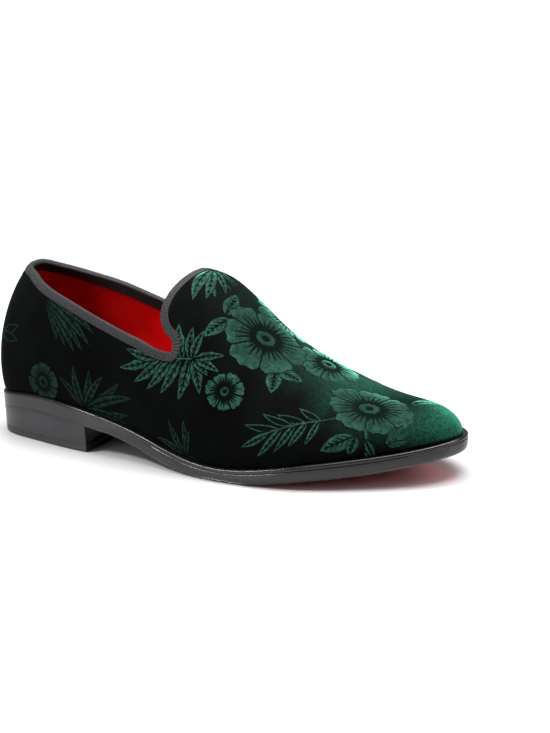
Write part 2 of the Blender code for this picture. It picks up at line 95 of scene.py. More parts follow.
# along, across of the outline
OUTLINE = [
    (0.0217, 0.000),
    (0.045, -0.197),
    (0.120, -0.278),
    (0.250, -0.343),
    (0.380, -0.366),
    (0.520, -0.456),
    (0.640, -0.478),
    (0.750, -0.430),
    (0.860, -0.283),
    (0.940, -0.129),
    (0.984, 0.097),
    (0.955, 0.235),
    (0.880, 0.350),
    (0.780, 0.435),
    (0.690, 0.455),
    (0.570, 0.395),
    (0.430, 0.295),
    (0.280, 0.285),
    (0.130, 0.305),
    (0.045, 0.205),
]
TOE_ROW = 10

# along, seat height, side wall, crown, bulge outside, bulge inside
SECTIONS = [
    (0.00, 0.884, 0.394, 0.550, 0.062, 0.062),
    (0.12, 1.080, 0.424, 0.600, 0.062, 0.062),
    (0.28, 0.972, 0.464, 0.600, 0.062, 0.052),
    (0.45, 0.536, 0.528, 0.773, 0.058, 0.049),
    (0.60, 0.316, 0.455, 0.647, -0.004, -0.004),
    (0.75, 0.536, 0.557, 0.546, 0.001, 0.001),
    (0.88, 0.728, 0.607, 0.603, -0.005, -0.005),
    (1.00, 0.940, 0.607, 0.603, -0.015, -0.015),
]

# along, height, across of the ridge
RIDGE = [
    (0.10, 1.008, 0.000),
    (0.25, 1.076, 0.000),
    (0.40, 0.997, 0.056),
    (0.50, 0.971, 0.099),
    (0.60, 0.736, 0.081),
    (0.70, 0.550, 0.069),
    (0.80, 0.425, 0.069),
    (0.92, 0.392, 0.069),
]

# station of the outline, station of the ridge
JOIN = [
    (0.00, 0.110),
    (0.08, 0.125),
    (0.20, 0.210),
    (0.35, 0.350),
    (0.50, 0.500),
    (0.65, 0.645),
    (0.80, 0.775),
    (0.92, 0.860),
    (1.00, 0.895),
]

# along, across, turn of the collar and throat line
COLLAR = [
    (0.097, 0.000, 0.000),
    (0.104, -0.040, 0.036),
    (0.120, -0.065, 0.056),
    (0.145, -0.096, 0.074),
    (0.175, -0.124, 0.090),
    (0.215, -0.150, 0.111),
    (0.251, -0.166, 0.129),
    (0.290, -0.175, 0.148),
    (0.330, -0.178, 0.166),
    (0.368, -0.181, 0.184),
    (0.407, -0.188, 0.201),
    (0.445, -0.203, 0.219),
    (0.468, -0.206, 0.232),
    (0.482, -0.197, 0.252),
    (0.480, -0.178, 0.323),
    (0.464, -0.158, 0.376),
    (0.447, -0.134, 0.406),
    (0.437, -0.102, 0.426),
    (0.436, -0.062, 0.444),
    (0.439, -0.022, 0.460),
    (0.443, 0.018, 0.476),
    (0.447, 0.062, 0.493),
    (0.450, 0.100, 0.510),
    (0.4505, 0.135, 0.528),
    (0.451, 0.162, 0.547),
    (0.457, 0.185, 0.572),
    (0.469, 0.203, 0.615),
    (0.480, 0.216, 0.680),
    (0.4825, 0.229, 0.735),
    (0.472, 0.236, 0.755),
    (0.450, 0.228, 0.769),
    (0.420, 0.206, 0.787),
    (0.385, 0.181, 0.806),
    (0.340, 0.161, 0.828),
    (0.285, 0.147, 0.850),
    (0.230, 0.139, 0.877),
    (0.176, 0.125, 0.905),
    (0.140, 0.101, 0.925),
    (0.115, 0.070, 0.944),
    (0.101, 0.032, 0.970),
]

# along, height of the underside of the sole
UNDERSIDE = [
    (0.00, 0.560),
    (0.12, 0.740),
    (0.26, 0.636),
    (0.36, 0.408),
    (0.46, 0.112),
    (0.53, 0.000),
    (0.65, 0.000),
    (0.74, 0.152),
    (0.84, 0.288),
    (0.93, 0.452),
    (1.00, 0.596),
]


# The last.
def spline(knots, values, closed=False):
    """Smooth curve through the values, as a function of the knot axis."""
    x = np.asarray(knots, float)
    y = np.asarray(values, float)
    single = y.ndim == 1
    if single:
        y = y[:, None]
    count = len(x)
    step = np.diff(x)
    bend = np.zeros_like(y)
    if closed:
        size = count - 1
        grid = np.zeros((size, size))
        right = np.zeros((size, y.shape[1]))
        for i in range(size):
            before = step[i - 1]
            after = step[i]
            previous = y[i - 1] if i else y[size - 1]
            grid[i, (i - 1) % size] += before
            grid[i, i] += 2 * (before + after)
            grid[i, (i + 1) % size] += after
            right[i] = 6 * ((y[i + 1] - y[i]) / after - (y[i] - previous) / before)
        bend[:size] = np.linalg.solve(grid, right)
        bend[size] = bend[0]
    else:
        grid = np.eye(count)
        right = np.zeros_like(y)
        for i in range(1, count - 1):
            before = step[i - 1]
            after = step[i]
            grid[i, i - 1:i + 2] = before, 2 * (before + after), after
            right[i] = 6 * ((y[i + 1] - y[i]) / after - (y[i] - y[i - 1]) / before)
        bend = np.linalg.solve(grid, right)

    def at(q):
        q = np.asarray(q, float)
        i = np.clip(np.searchsorted(x, q, side="right") - 1, 0, count - 2)
        a = ((x[i + 1] - q) / step[i])[..., None]
        b = ((q - x[i]) / step[i])[..., None]
        pull = (step[i] ** 2)[..., None] / 6
        out = a * y[i] + b * y[i + 1]
        out = out + ((a ** 3 - a) * bend[i] + (b ** 3 - b) * bend[i + 1]) * pull
        return out[..., 0] if single else out
    return at


def chord_lengths(points):
    """Running length along a row of points, starting at nought."""
    steps = np.linalg.norm(np.diff(points, axis=0), axis=1)
    return np.concatenate([[0.0], np.cumsum(steps)])


def unit(vectors):
    """The vectors at length one."""
    return vectors / np.maximum(np.linalg.norm(vectors, axis=-1, keepdims=True), 1e-12)


def ease(value, low, high):
    """Smooth step from nought to one between two values."""
    t = np.clip((value - low) / (high - low), 0.0, 1.0)
    return t * t * (3 - 2 * t)


outline_rows = np.array(OUTLINE) * [LENGTH, BALL_WIDTH]
outline_loop = np.vstack([outline_rows, outline_rows[:1]])
outline_length = chord_lengths(outline_loop)
outline_curve = spline(outline_length, outline_loop, closed=True)
section_rows = np.array(SECTIONS)
section_scale = [HEEL_HEIGHT, 1.0, 1.0, BALL_WIDTH, BALL_WIDTH]
section_curve = spline(section_rows[:, 0] * LENGTH, section_rows[:, 1:] * section_scale)
ridge_rows = np.array(RIDGE)
ridge_curve = spline(ridge_rows[:, 0] * LENGTH, ridge_rows[:, 1:] * [INSTEP_HEIGHT, BALL_WIDTH])
join_rows = np.array(JOIN) * LENGTH
join_curve = spline(join_rows[:, 0], join_rows[:, 1])
underside_rows = np.array(UNDERSIDE) * [LENGTH, HEEL_HEIGHT]
underside_curve = spline(underside_rows[:, 0], underside_rows[:, 1])


def outline(turn):
    """Point of the outline; turn 0 is the heel, 0.5 the toe, 1 the heel again."""
    turn = np.mod(turn, 1.0)
    toe = outline_length[TOE_ROW]
    rest = outline_length[-1] - toe
    length = np.where(turn < 0.5, turn * 2 * toe, toe + (turn - 0.5) * 2 * rest)
    return outline_curve(length)


def seat_height(along):
    """Height of the last's bottom edge over the floor."""
    return section_curve(np.clip(along, 0.0, LENGTH))[..., 0]


def sole_height(along):
    """Height of the outsole's underside over the floor."""
    return np.maximum(underside_curve(np.clip(along, 0.0, LENGTH)), 0.0)


FINE_TURNS = np.arange(FINE + 1) / FINE


def rib_rows():
    """Foot, ridge point, section numbers, height and slope at closely set turns."""
    foot = outline(FINE_TURNS)
    numbers = section_curve(np.clip(foot[:, 0], 0.0, LENGTH))
    along = join_curve(np.clip(foot[:, 0], 0.0, LENGTH))
    ridge = ridge_curve(along)
    rise = ridge_curve(along + NUDGE)[:, 0] - ridge_curve(along - NUDGE)[:, 0]
    return np.column_stack([foot, along, ridge[:, 1], numbers, ridge[:, 0], rise / (2 * NUDGE)])


RIB_TABLE = rib_rows()
PLAN_COLUMNS = range(4)   # foot and ridge point
RIDGE_POINTS = 40         # of the line that parts the two sides


def rib(turn, columns=range(11)):
    """The wanted columns of the rib rows at any turn."""
    turn = np.mod(turn, 1.0)
    return np.stack([np.interp(turn, FINE_TURNS, RIB_TABLE[:, c]) for c in columns], -1)


def last_surface(turn, up):
    """Point of the last's skin; up is 0 at the outline and 1 at the ridge."""
    row = rib(turn)
    foot, top = row[..., 0:2], row[..., 2:4]
    base, wall, crown_share, bulge_out, bulge_in = (row[..., k] for k in range(4, 9))
    top_height, slope = row[..., 9], row[..., 10]
    out = foot - top
    outward = unit(out)
    outer_share = 0.5 - 0.5 * outward[..., 1]
    bulge = bulge_out * outer_share + bulge_in * (1 - outer_share)
    height = top_height - base
    t = np.asarray(up, float)[..., None]
    p0 = np.concatenate([foot, base[..., None]], -1)
    side = foot + outward * bulge[..., None]
    p1 = np.concatenate([side, (base + wall * height)[..., None]], -1)
    crown = top + out * crown_share[..., None]
    crown_height = top_height + slope * (crown[..., 0] - top[..., 0])
    p2 = np.concatenate([crown, crown_height[..., None]], -1)
    p3 = np.concatenate([top, top_height[..., None]], -1)
    s = 1 - t
    return s ** 3 * p0 + 3 * s * s * t * p1 + 3 * s * t * t * p2 + t ** 3 * p3


def ridge_across(along):
    """Across position of the line that parts the two sides of the plan."""
    heel = outline(0.0)
    toe = outline(0.5)
    start = join_curve(0.0)
    stop = join_curve(LENGTH)
    xs = start + (stop - start) * np.linspace(0.0, 1.0, RIDGE_POINTS)
    line_x = np.concatenate([[heel[0]], xs, [toe[0]]])
    line_y = np.concatenate([[heel[1]], ridge_curve(xs)[..., 1], [toe[1]]])
    return np.interp(along, line_x, line_y)


def locate(plan):
    """Turn and up of points on the plan of the ribs."""
    outer = plan[..., 1] <= ridge_across(plan[..., 0])
    low = np.where(outer, 0.0, 0.5)
    high = np.where(outer, 0.5, 1.0)
    for _ in range(HALVINGS):
        middle = (low + high) / 2
        row = rib(middle, PLAN_COLUMNS)
        arm = row[..., 0:2] - row[..., 2:4]
        reach = plan - row[..., 2:4]
        ahead = arm[..., 0] * reach[..., 1] - arm[..., 1] * reach[..., 0] > 0
        low = np.where(ahead, middle, low)
        high = np.where(ahead, high, middle)
    turn = (low + high) / 2
    row = rib(turn, PLAN_COLUMNS)
    arm = row[..., 0:2] - row[..., 2:4]
    up = 1 - np.sum((plan - row[..., 2:4]) * arm, -1) / np.sum(arm * arm, -1)
    return turn, up


def skin(plan):
    """Points of the last's skin over points of the plan."""
    return last_surface(*locate(plan))


def skin_frame(plan):
    """Skin points, outward directions and the two slopes over the plan."""
    ahead = skin(plan + [NUDGE, 0]) - skin(plan - [NUDGE, 0])
    aside = skin(plan + [0, NUDGE]) - skin(plan - [0, NUDGE])
    ahead = ahead / (2 * NUDGE)
    aside = aside / (2 * NUDGE)
    return skin(plan), unit(np.cross(ahead, aside)), ahead, aside


def around(ring):
    """Direction along a closed ring of points."""
    return unit(np.roll(ring, -1, axis=0) - np.roll(ring, 1, axis=0))


def inward(ring):
    """Direction towards the middle at each point of a flat closed ring."""
    ahead = around(ring)
    return np.stack([-ahead[:, 1], ahead[:, 0]], -1)


def between(start, feet, share):
    """Points of the plan a share of the way down their ribs."""
    return start + (feet - start) * np.asarray(share)[..., None]


def soften(ring, values, width):
    """Values along a closed ring of points, averaged over a width in metres."""
    length = chord_lengths(np.vstack([ring, ring[:1]]))
    even = np.linspace(0.0, length[-1], FINE + 1)
    waves = np.fft.rfftfreq(FINE, length[-1] / FINE)
    damp = np.exp(-2 * (np.pi * waves * width) ** 2)
    soft = []
    for column in np.vstack([values, values[:1]]).T:
        smooth = np.fft.irfft(np.fft.rfft(np.interp(even[:-1], length, column)) * damp, FINE)
        soft.append(np.interp(length[:-1], even, np.append(smooth, smooth[0])))
    return np.stack(soft, -1)


def walk(plan, distance):
    """Move plan points away from the opening by a distance along the skin."""
    steps = max(1, int(np.ceil(abs(distance) / WALK_STEP)))
    for _ in range(steps):
        points, normal, ahead, aside = skin_frame(plan)
        away = unit(soften(points, np.cross(around(points), normal), CORNER_ROUND))
        away = away * distance / steps
        a = np.sum(ahead * ahead, -1)
        b = np.sum(ahead * aside, -1)
        c = np.sum(aside * aside, -1)
        p = np.sum(ahead * away, -1)
        q = np.sum(aside * away, -1)
        det = a * c - b * b
        plan = plan + np.stack([(c * p - b * q) / det, (a * q - b * p) / det], -1)
    return plan


COLLAR_POINTS = 1600      # of the fine collar line
TURN_SMOOTHINGS = 120     # times the turns under it are averaged with their neighbours
COLUMN_SHARES = (0.34, 0.56, 0.10)    # columns spread by length, by turn and by bend


def collar_line(count):
    """Plan points of the collar line and the outline turn under each of them."""
    rows = np.array(COLLAR)
    loop = np.vstack([rows, [rows[0, 0], rows[0, 1], 1.0]])
    loop[:, 0] *= LENGTH
    loop[:, 1] *= BALL_WIDTH
    knots = chord_lengths(loop[:, :2])
    curve = spline(knots, loop[:, :2], closed=True)
    fine = np.linspace(0.0, knots[-1], COLLAR_POINTS)
    feet = np.interp(fine, knots, loop[:, 2])
    for _ in range(TURN_SMOOTHINGS):
        feet[1:-1] = (feet[:-2] + feet[1:-1] + feet[2:]) / 3
    points = skin(curve(fine))
    line = chord_lengths(points)
    bend = np.linalg.norm(np.diff(unit(np.diff(points, axis=0)), axis=0), axis=1)
    bend = np.concatenate([[0.0], np.cumsum(bend), [bend.sum()]])
    by_length, by_turn, by_bend = COLUMN_SHARES
    spread = by_length * line / line[-1] + by_turn * feet + by_bend * bend / bend[-1]
    want = np.arange(count) / count
    at = np.interp(want, spread, fine)
    return curve(at), np.interp(want, spread, feet)


def offset(plan, distance):
    """Skin points pushed along the outward direction."""
    points, normal, _ahead, _aside = skin_frame(plan)
    return points + normal * distance


def height_on_lining(start, feet, rise):
    """How far down each rib the lining stands at a rise over the seat."""
    low = np.full(len(start), 0.30)
    high = np.ones(len(start))
    for _ in range(HALVINGS):
        middle = (low + high) / 2
        points = offset(between(start, feet, middle), -WALL)
        above = points[:, 2] > seat_height(points[:, 0]) + rise
        low = np.where(above, middle, low)
        high = np.where(above, high, middle)
    return (low + high) / 2


def spread_outline(spread):
    """Fine outline moved outwards by one number, or one for each point."""
    nudge = 1.6 / FINE
    direction = unit(outline(FINE_TURNS + nudge) - outline(FINE_TURNS - nudge))
    across = np.stack([direction[:, 1], -direction[:, 0]], -1)
    return outline(FINE_TURNS) + across * np.broadcast_to(spread, FINE + 1)[:, None]


EDGE_AT_HEEL = 0.50       # share of the sole's edge that shows at the heel
EDGE_GROWS = (0.02, 0.42)    # shares of the length between which it grows to the whole


def edge_spread(inset=0.0):
    """How far the sole stands out past the upper, less at the heel."""
    along = outline(FINE_TURNS)[:, 0] / LENGTH
    return SOLE_EDGE * (EDGE_AT_HEEL + (1 - EDGE_AT_HEEL) * ease(along, *EDGE_GROWS)) - inset


CROWDING = 0.85           # how much the sole's stations crowd towards heel and toe


def sole_ring(spread):
    """Plan ring round the sole with matching stations on both sides."""
    plan = spread_outline(spread)
    heel = np.argmin(plan[:, 0])
    heel = heel if heel < FINE / 2 else heel - FINE
    toe = np.argmax(plan[:, 0])
    outer = plan[np.arange(heel, toe + 1) % FINE]
    inner = plan[np.arange(toe, heel + FINE + 1) % FINE][::-1]
    even = np.linspace(0.0, 1.0, SOLE_STATIONS + 1)
    share = CROWDING * (1 - np.cos(np.pi * even)) / 2 + (1 - CROWDING) * even
    stations = outer[0, 0] + (outer[-1, 0] - outer[0, 0]) * share
    left = np.interp(stations, np.maximum.accumulate(outer[:, 0]), outer[:, 1])
    right = np.interp(stations, np.maximum.accumulate(inner[:, 0]), inner[:, 1])
    forward = np.column_stack([stations, left])
    back = np.column_stack([stations, right])[1:-1][::-1]
    return np.vstack([forward, back])


def frame_shift():
    """From the last's own frame to the row frame, taken from the CAD sole."""
    ring = sole_ring(SOLE_EDGE)
    low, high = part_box("outsole")
    middle = (ring.min(axis=0) + ring.max(axis=0)) / 2
    return np.array([(low.x + high.x) / 2 - middle[0], (low.y + high.y) / 2 - middle[1], 0.0])


SHIFT = frame_shift()


# Mesh tools.
SHARP_TURN = 42           # degrees from which an edge of the sole and heel stays crisp


def make_mesh(name, points, quads, look, extra=(), sharp=None):
    """Smooth mesh object from arrays, placed in the row frame."""
    mesh = bpy.data.meshes.new(name)
    faces = [list(face) for face in extra]
    sizes = np.concatenate([np.full(len(quads), 4), [len(face) for face in faces]]).astype(int)
    loops = np.concatenate([np.asarray(quads).ravel()] + [np.array(face) for face in faces])
    mesh.vertices.add(len(points))
    mesh.vertices.foreach_set("co", (points + SHIFT).astype(np.float32).ravel())
    mesh.loops.add(len(loops))
    mesh.loops.foreach_set("vertex_index", loops.astype(np.int32))
    mesh.polygons.add(len(sizes))
    starts = np.concatenate([[0], np.cumsum(sizes)[:-1]])
    mesh.polygons.foreach_set("loop_start", starts.astype(np.int32))
    mesh.polygons.foreach_set("use_smooth", np.ones(len(sizes), bool))
    mesh.update(calc_edges=True)
    mesh.validate()
    if sharp:
        mark_sharp(mesh, sharp)
    thing = bpy.data.objects.new(name, mesh)
    bpy.context.scene.collection.objects.link(thing)
    mesh.materials.append(look)
    return thing


def mark_sharp(mesh, degrees):
    """Edges that turn by more than this stay crisp."""
    shape = bmesh.new()
    shape.from_mesh(mesh)
    for edge in shape.edges:
        if len(edge.link_faces) == 2:
            edge.smooth = edge.calc_face_angle(0.0) < math.radians(degrees)
    shape.to_mesh(mesh)
    shape.free()


def net(rows, columns, close_rows, close_columns):
    """Faces of a net of points; either way it can close on itself."""
    r, c = np.meshgrid(np.arange(rows - 1 + close_rows), np.arange(columns - 1 + close_columns),
                       indexing="ij")
    below = (r + 1) % rows
    beside = (c + 1) % columns
    quads = np.stack([r * columns + c, below * columns + c,
                      below * columns + beside, r * columns + beside], -1)
    return quads.reshape(-1, 4)


def tube(name, rings, look):
    """Closed tube through rings of equal size."""
    return make_mesh(name, np.vstack(rings), net(len(rings), len(rings[0]), True, True), look)


def give(thing, name, values):
    """Store one number for each vertex."""
    layer = thing.data.attributes.new(name, "FLOAT", "POINT")
    layer.data.foreach_set("value", np.asarray(values, np.float32).ravel())


def slab(name, rings, look, across):
    """Stacked rings closed by a fine grid of strips at both ends."""
    count = len(rings[0])
    half = count // 2
    points = list(rings)
    start = len(rings) * count
    quads = [net(len(rings), count, False, True)]
    extra = []
    share = np.linspace(0.0, 1.0, across + 1)[1:-1]
    for end, flip in ((0, False), (len(rings) - 1, True)):
        ring = rings[end]
        left = ring[1:half]
        right = ring[:half:-1]
        inside = left[:, None] + (right - left)[:, None] * share[None, :, None]
        points.append(inside.reshape(-1, 3))
        index = start + np.arange(inside.shape[0] * (across - 1)).reshape(-1, across - 1)
        start += index.size
        base = end * count
        left_index = (base + np.arange(1, half))[:, None]
        right_index = (base + np.arange(count - 1, half, -1))[:, None]
        grid = np.hstack([left_index, index, right_index])
        face = np.stack([grid[:-1, :-1], grid[1:, :-1], grid[1:, 1:], grid[:-1, 1:]], -1)
        face = face.reshape(-1, 4)
        quads.append(face[:, ::-1] if flip else face)
        first = [base] + list(grid[0])
        last = [base + half] + list(grid[-1][::-1])
        extra += [first[::-1] if flip else first, last[::-1] if flip else last]
    return make_mesh(name, np.vstack(points), np.vstack(quads), look, extra, SHARP_TURN)


# Node tools.
PER_MM = 1000.0           # scale of a pattern whose marks are one millimetre wide
MATH = "ShaderNodeMath"
SPAN = "ShaderNodeMapRange"    # sockets: 0 value, 1 and 2 the range it has, 3 and 4 the new one
MIX = "ShaderNodeMix"
NOISE = "ShaderNodeTexNoise"
EASED = {"interpolation_type": "SMOOTHSTEP"}
COLOURS = {"data_type": "RGBA"}
TINT_A, TINT_B = 6, 7     # numbers of the two colour sockets of a mix


def colour(text):
    """Linear colour from a screen hex value."""
    parts = [int(text[k:k + 2], 16) / 255 for k in (1, 3, 5)]
    linear = [p / 12.92 if p <= 0.04045 else ((p + 0.055) / 1.055) ** 2.4 for p in parts]
    return (*linear, 1.0)


def feed(tree, node, inputs):
    """Set or link the inputs of a node; a node given as a value lends its result."""
    for socket, value in inputs.items():
        if isinstance(value, bpy.types.Node):
            value = [result for result in value.outputs if result.enabled][0]
        if isinstance(value, bpy.types.NodeSocket):
            tree.links.new(value, node.inputs[socket])
        else:
            node.inputs[socket].default_value = value


def add(tree, kind, inputs=None, **settings):
    """Add one node with its settings, values and links."""
    node = tree.nodes.new(kind)
    for name, value in settings.items():
        setattr(node, name, value)
    feed(tree, node, inputs or {})
    return node


# Flowers, in mm on the cloth.
GAP = 0.55                # dark gap left round a shape laid over another
FAR = -3.0                # value of all that lies this far outside a shape, or further
DEEP = 8.0                # value of all that lies this far inside one, or deeper
HOLD = 0.4                # how far past its edge a shape still sets the veins and the tone
SEEN_FROM = 0.05          # cloth that faces further away from a spot is left alone
STALK = 0.9               # width of a fern's stalk


class Cloth:
    """The velvet as a field of points that motifs are pressed into."""

    def __init__(self, points, normals):
        self.points = points
        self.normals = normals
        self.bloom = np.full(len(points), FAR)
        self.vein = np.full(len(points), FAR)
        # Tone: how strongly a shape is pressed and how light it reads; below one low on the side, round
        # the heel, on the inner side and on the toe flower, partly as painted shade.
        self.tone = np.ones(len(points))

    def place(self, turn, up, reach, tone=1.0):
        """Spot on the cloth: nearby points with flat coordinates in mm."""
        nudge = 0.004
        centre = last_surface(np.array(turn), np.array(up))
        along = last_surface(np.array(turn + nudge), np.array(up))
        low = last_surface(np.array(turn), np.array(up - nudge))
        normal = unit(np.cross(low - centre, along - centre))
        first = unit(np.array([1.0, 0, 0]) - normal * normal[0])
        second = np.cross(normal, first)
        arm = self.points - centre
        length = np.linalg.norm(arm, axis=1)
        near = (length < reach * MM) & (self.normals @ normal > SEEN_FROM)
        index = np.nonzero(near)[0]
        x = arm[index] @ first
        y = arm[index] @ second
        scale = length[index] / np.maximum(np.hypot(x, y), 1e-9) / MM
        return index, x * scale, y * scale, tone

    def press(self, spot, body, lines):
        """Lay one shape over what is there, with a dark gap round it."""
        index, _x, _y, tone = spot
        old = np.minimum(self.bloom[index], -GAP - body)
        over = body > -HOLD
        self.vein[index] = np.where(over, lines, self.vein[index])
        self.tone[index] = np.where(over, tone, self.tone[index])
        self.bloom[index] = np.maximum(old, np.clip(body, FAR, DEEP))


def polar(length, degrees):
    """Flat coordinates of a length in mm at an angle."""
    return length * math.cos(math.radians(degrees)), length * math.sin(math.radians(degrees))


def by_line(spot, root, tip, bow):
    """Places against a bowed line: size, mm along, share along, mm aside."""
    _index, x, y, _tone = spot
    dx, dy = tip[0] - root[0], tip[1] - root[1]
    size = math.hypot(dx, dy)
    along = ((x - root[0]) * dx + (y - root[1]) * dy) / size
    side = ((y - root[1]) * dx - (x - root[0]) * dy) / size
    s = np.clip(along / size, 0.0, 1.0)
    return size, along, s, side - bow * size * 4 * s * (1 - s)


def blade(cloth, spot, root, tip, width, kind="veined", bow=0.0):
    """One leaf from root to tip with its veins."""
    size, along, s, side = by_line(spot, root, tip, bow)
    half = width / 2 * np.sin(np.pi * s ** 0.8) ** 0.85
    if kind == "ragged":
        half = half * (1 - 0.20 * np.mod(s * 3.6 + 0.2, 1.0))
    body = np.minimum(half - np.abs(side), np.minimum(along + 0.3, size - along + 0.3))
    # The middle vein tapers towards the tip.
    middle = 0.36 * (1 - s) + 0.14 - np.abs(side)
    lines = np.where(s < 0.9, middle, FAR)
    if kind in ("veined", "ragged"):
        # Branches slant forward and stop short of the edge.
        pitch = max(2.4, size / 6)
        slant = np.mod((along - 1.3 * np.abs(side)) / pitch, 1.0) - 0.5
        reached = np.abs(side) / np.maximum(half, 0.1)
        branch = 0.32 - 0.26 * reached - np.abs(slant) * pitch * 0.61
        inside = (reached < 0.68) & (s > 0.08) & (s < 0.86)
        lines = np.maximum(lines, np.where(inside, branch, FAR))
    if kind == "hollow":
        lines = body - 0.75
    if kind == "line":
        lines = np.full_like(side, FAR)
    cloth.press(spot, body, lines)


def stem(cloth, spot, root, tip, width, bow=0.0):
    """Thin stalk between two points."""
    index, _x, _y, tone = spot
    size, along, _s, side = by_line(spot, root, tip, bow)
    body = np.minimum(width / 2 - np.abs(side), np.minimum(along, size - along))
    cloth.vein[index] = np.where(body > -0.1, FAR, cloth.vein[index])
    cloth.tone[index] = np.where(body > -HOLD, tone, cloth.tone[index])
    cloth.bloom[index] = np.maximum(cloth.bloom[index], body)


# Dark streaks of a petal: place across it, share of the radius reached, half width.
STREAKS = [
    (0.00, 0.80, 0.64),
    (-0.19, 0.72, 0.54),
    (0.19, 0.76, 0.54),
    (-0.36, 0.58, 0.50),
    (0.36, 0.54, 0.50),
]
STREAK_TIP = 0.15         # half width more, kept to the tip
STREAK_RADIUS = 20        # of the flower for which those widths hold
PETAL_GAP = 0.42          # half the dark line between petals
EYE_DARK = 1.20           # reach of the dark, the light ring and the dark centre,
EYE_RING = 1.04           # in shares of the eye's radius
EYE_CENTRE = 0.46


def flower(cloth, spot, radius, petals, phase=0.0, squash=1.0, droop=0.0, ring=0.22):
    """Open flower: broad scalloped petals, tapered veins and a ringed eye."""
    _index, x, y, _tone = spot
    rise = y / squash
    r = np.hypot(x, rise)
    around_eye = np.arctan2(rise, x) / (2 * math.pi) * petals + phase
    number = np.floor(around_eye)
    f = around_eye - number - 0.5
    number = np.mod(number, petals)
    # Petals differ a little in length; their ends are rounded and scalloped.
    reach = 1 + 0.06 * np.sin(2.3 * number + 4 * phase) - droop * rise / np.maximum(r, 1e-6)
    reach = reach * (1 - 0.13 * (2 * np.abs(f)) ** 4.5)
    reach = reach + 0.026 * np.cos(2 * math.pi * 3 * f + 0.8 * np.sin(number))
    body = (radius * reach - r) * 0.85
    # A dark line parts the petals, and streaks run out from the eye.
    arc = 2 * math.pi * np.maximum(r, 0.2) / petals
    share = r / radius
    lines = np.where(share > 0.32, PETAL_GAP - (0.5 - np.abs(f)) * arc, FAR)
    streak_scale = math.sqrt(radius / STREAK_RADIUS)
    for place, stop, strong in STREAKS:
        stop = stop + 0.05 * np.sin(1.7 * number + 9 * place)
        fade = np.clip((stop - share) / (stop - 0.28), 0.0, 1.0) ** 0.8
        middle = place * (1 + 0.35 * share)
        middle = middle + 0.05 * np.sin(3.0 * share + number)
        streak = (strong * fade + STREAK_TIP) * streak_scale - np.abs(f - middle) * arc
        lines = np.maximum(lines, np.where(share < stop, streak, FAR))
    # The eye is a light ring with a dark centre, dark all round.
    eye = radius * ring
    lines = np.maximum(lines, np.where(r > eye, eye * EYE_DARK - r, FAR))
    lines = np.where(r < eye * EYE_RING, eye * EYE_CENTRE - r, lines)
    cloth.press(spot, body, lines)


def spray(cloth, spot, rows):
    """Leaves from one root.  Rows: length, angle, width."""
    for number, (length, angle, width) in enumerate(rows):
        root = polar(1.0, angle)
        bow = 0.05 if number % 2 else -0.05
        blade(cloth, spot, root, polar(length, angle), width, bow=bow)


def fern(cloth, spot, tip, rows, bare=1.0):
    """Leaflets along a stalk.  Rows: length, angle, share of the stalk, width, kind."""
    for length, angle, share, width, kind in rows:
        root = (tip[0] * share, tip[1] * share)
        blade(cloth, spot, root, polar(length, angle), width, kind, 0.04)
    if bare:
        stem(cloth, spot, (0.0, 0.0), (tip[0] * bare, tip[1] * bare), STALK)


# Leaves of the fans: length, angle, width.  Angles turn from the toe's direction
# upwards on the outer side.
TONGUE_FAN = [
    (20, 4, 2.4), (21, -8, 2.6), (22, -20, 2.8), (24, -34, 4.4), (27, -50, 5.2),
    (29, -62, 6.0), (31, -76, 7.4),
]
LOW_FAN = [
    (24, 136, 4.8), (26, 104, 5.2), (25, 78, 5.0), (26, 55, 5.0), (33, 36, 5.6),
    (38, 18, 5.8), (32, 2, 5.4), (30, -10, 5.0),
]
WAIST_FAN = [(24, 164, 4.0), (23, 122, 4.2), (21, 94, 4.2), (16, 78, 3.8), (10, -9, 3.4)]
HEEL_SPRAY = [(20, 60, 4.0), (26, 45, 4.0), (30, 30, 4.0)]
# Leaflets of the ferns: length, angle, share of the stalk, width, kind.
PALM = [
    (50, -169, 0.56, 6.4, "ragged"),
    (45, 178, 0.50, 6.0, "ragged"),
    (42, -156, 0.40, 6.6, "ragged"),
    (35, -144, 0.27, 6.6, "ragged"),
    (28, -129, 0.15, 6.8, "ragged"),
    (24, -101, 0.04, 7.4, "ragged"),
    (20, -67, 0.0, 6.6, "ragged"),
    (13, -36, 0.0, 5.4, "ragged"),
    (17, -16, -0.03, 5.2, "ragged"),
    (18, 16, -0.03, 5.4, "ragged"),
    (22, 123, 0.12, 7.0, "ragged"),
    (18, 101, 0.03, 6.0, "ragged"),
    (17, 80, 0.0, 5.6, "ragged"),
]
QUARTER_FROND = [
    (22, -68, 0.95, 5.0, "veined"),
    (27, -58, 0.95, 5.4, "veined"),
    (33, -50, 0.95, 5.8, "veined"),
    (37, -42, 0.95, 6.0, "veined"),
    (39, -33, 0.95, 6.0, "veined"),
    (37, -22, 0.95, 5.6, "veined"),
    (31, -12, 0.95, 5.0, "veined"),
]
MID_FERN = [
    (17, 176, 0.10, 4.2, "hollow"),
    (28, -168, 0.30, 4.2, "hollow"),
    (36, -168, 0.48, 4.0, "hollow"),
    (46, -161, 0.66, 4.0, "hollow"),
    (19, -110, 0.12, 3.8, "veined"),
    (26, -126, 0.28, 4.0, "veined"),
    (34, -132, 0.44, 4.2, "veined"),
    (43, -138, 0.62, 4.4, "veined"),
    (50, -149, 0.80, 4.0, "veined"),
]
INNER_FERN = [
    (16, 60, 0.15, 4.0, "hollow"),
    (23, 46, 0.35, 4.0, "hollow"),
    (30, 36, 0.55, 3.8, "hollow"),
    (15, -30, 0.12, 3.8, "hollow"),
    (22, -18, 0.30, 4.0, "hollow"),
    (30, -10, 0.50, 4.0, "hollow"),
    (36, 8, 0.75, 3.8, "hollow"),
]


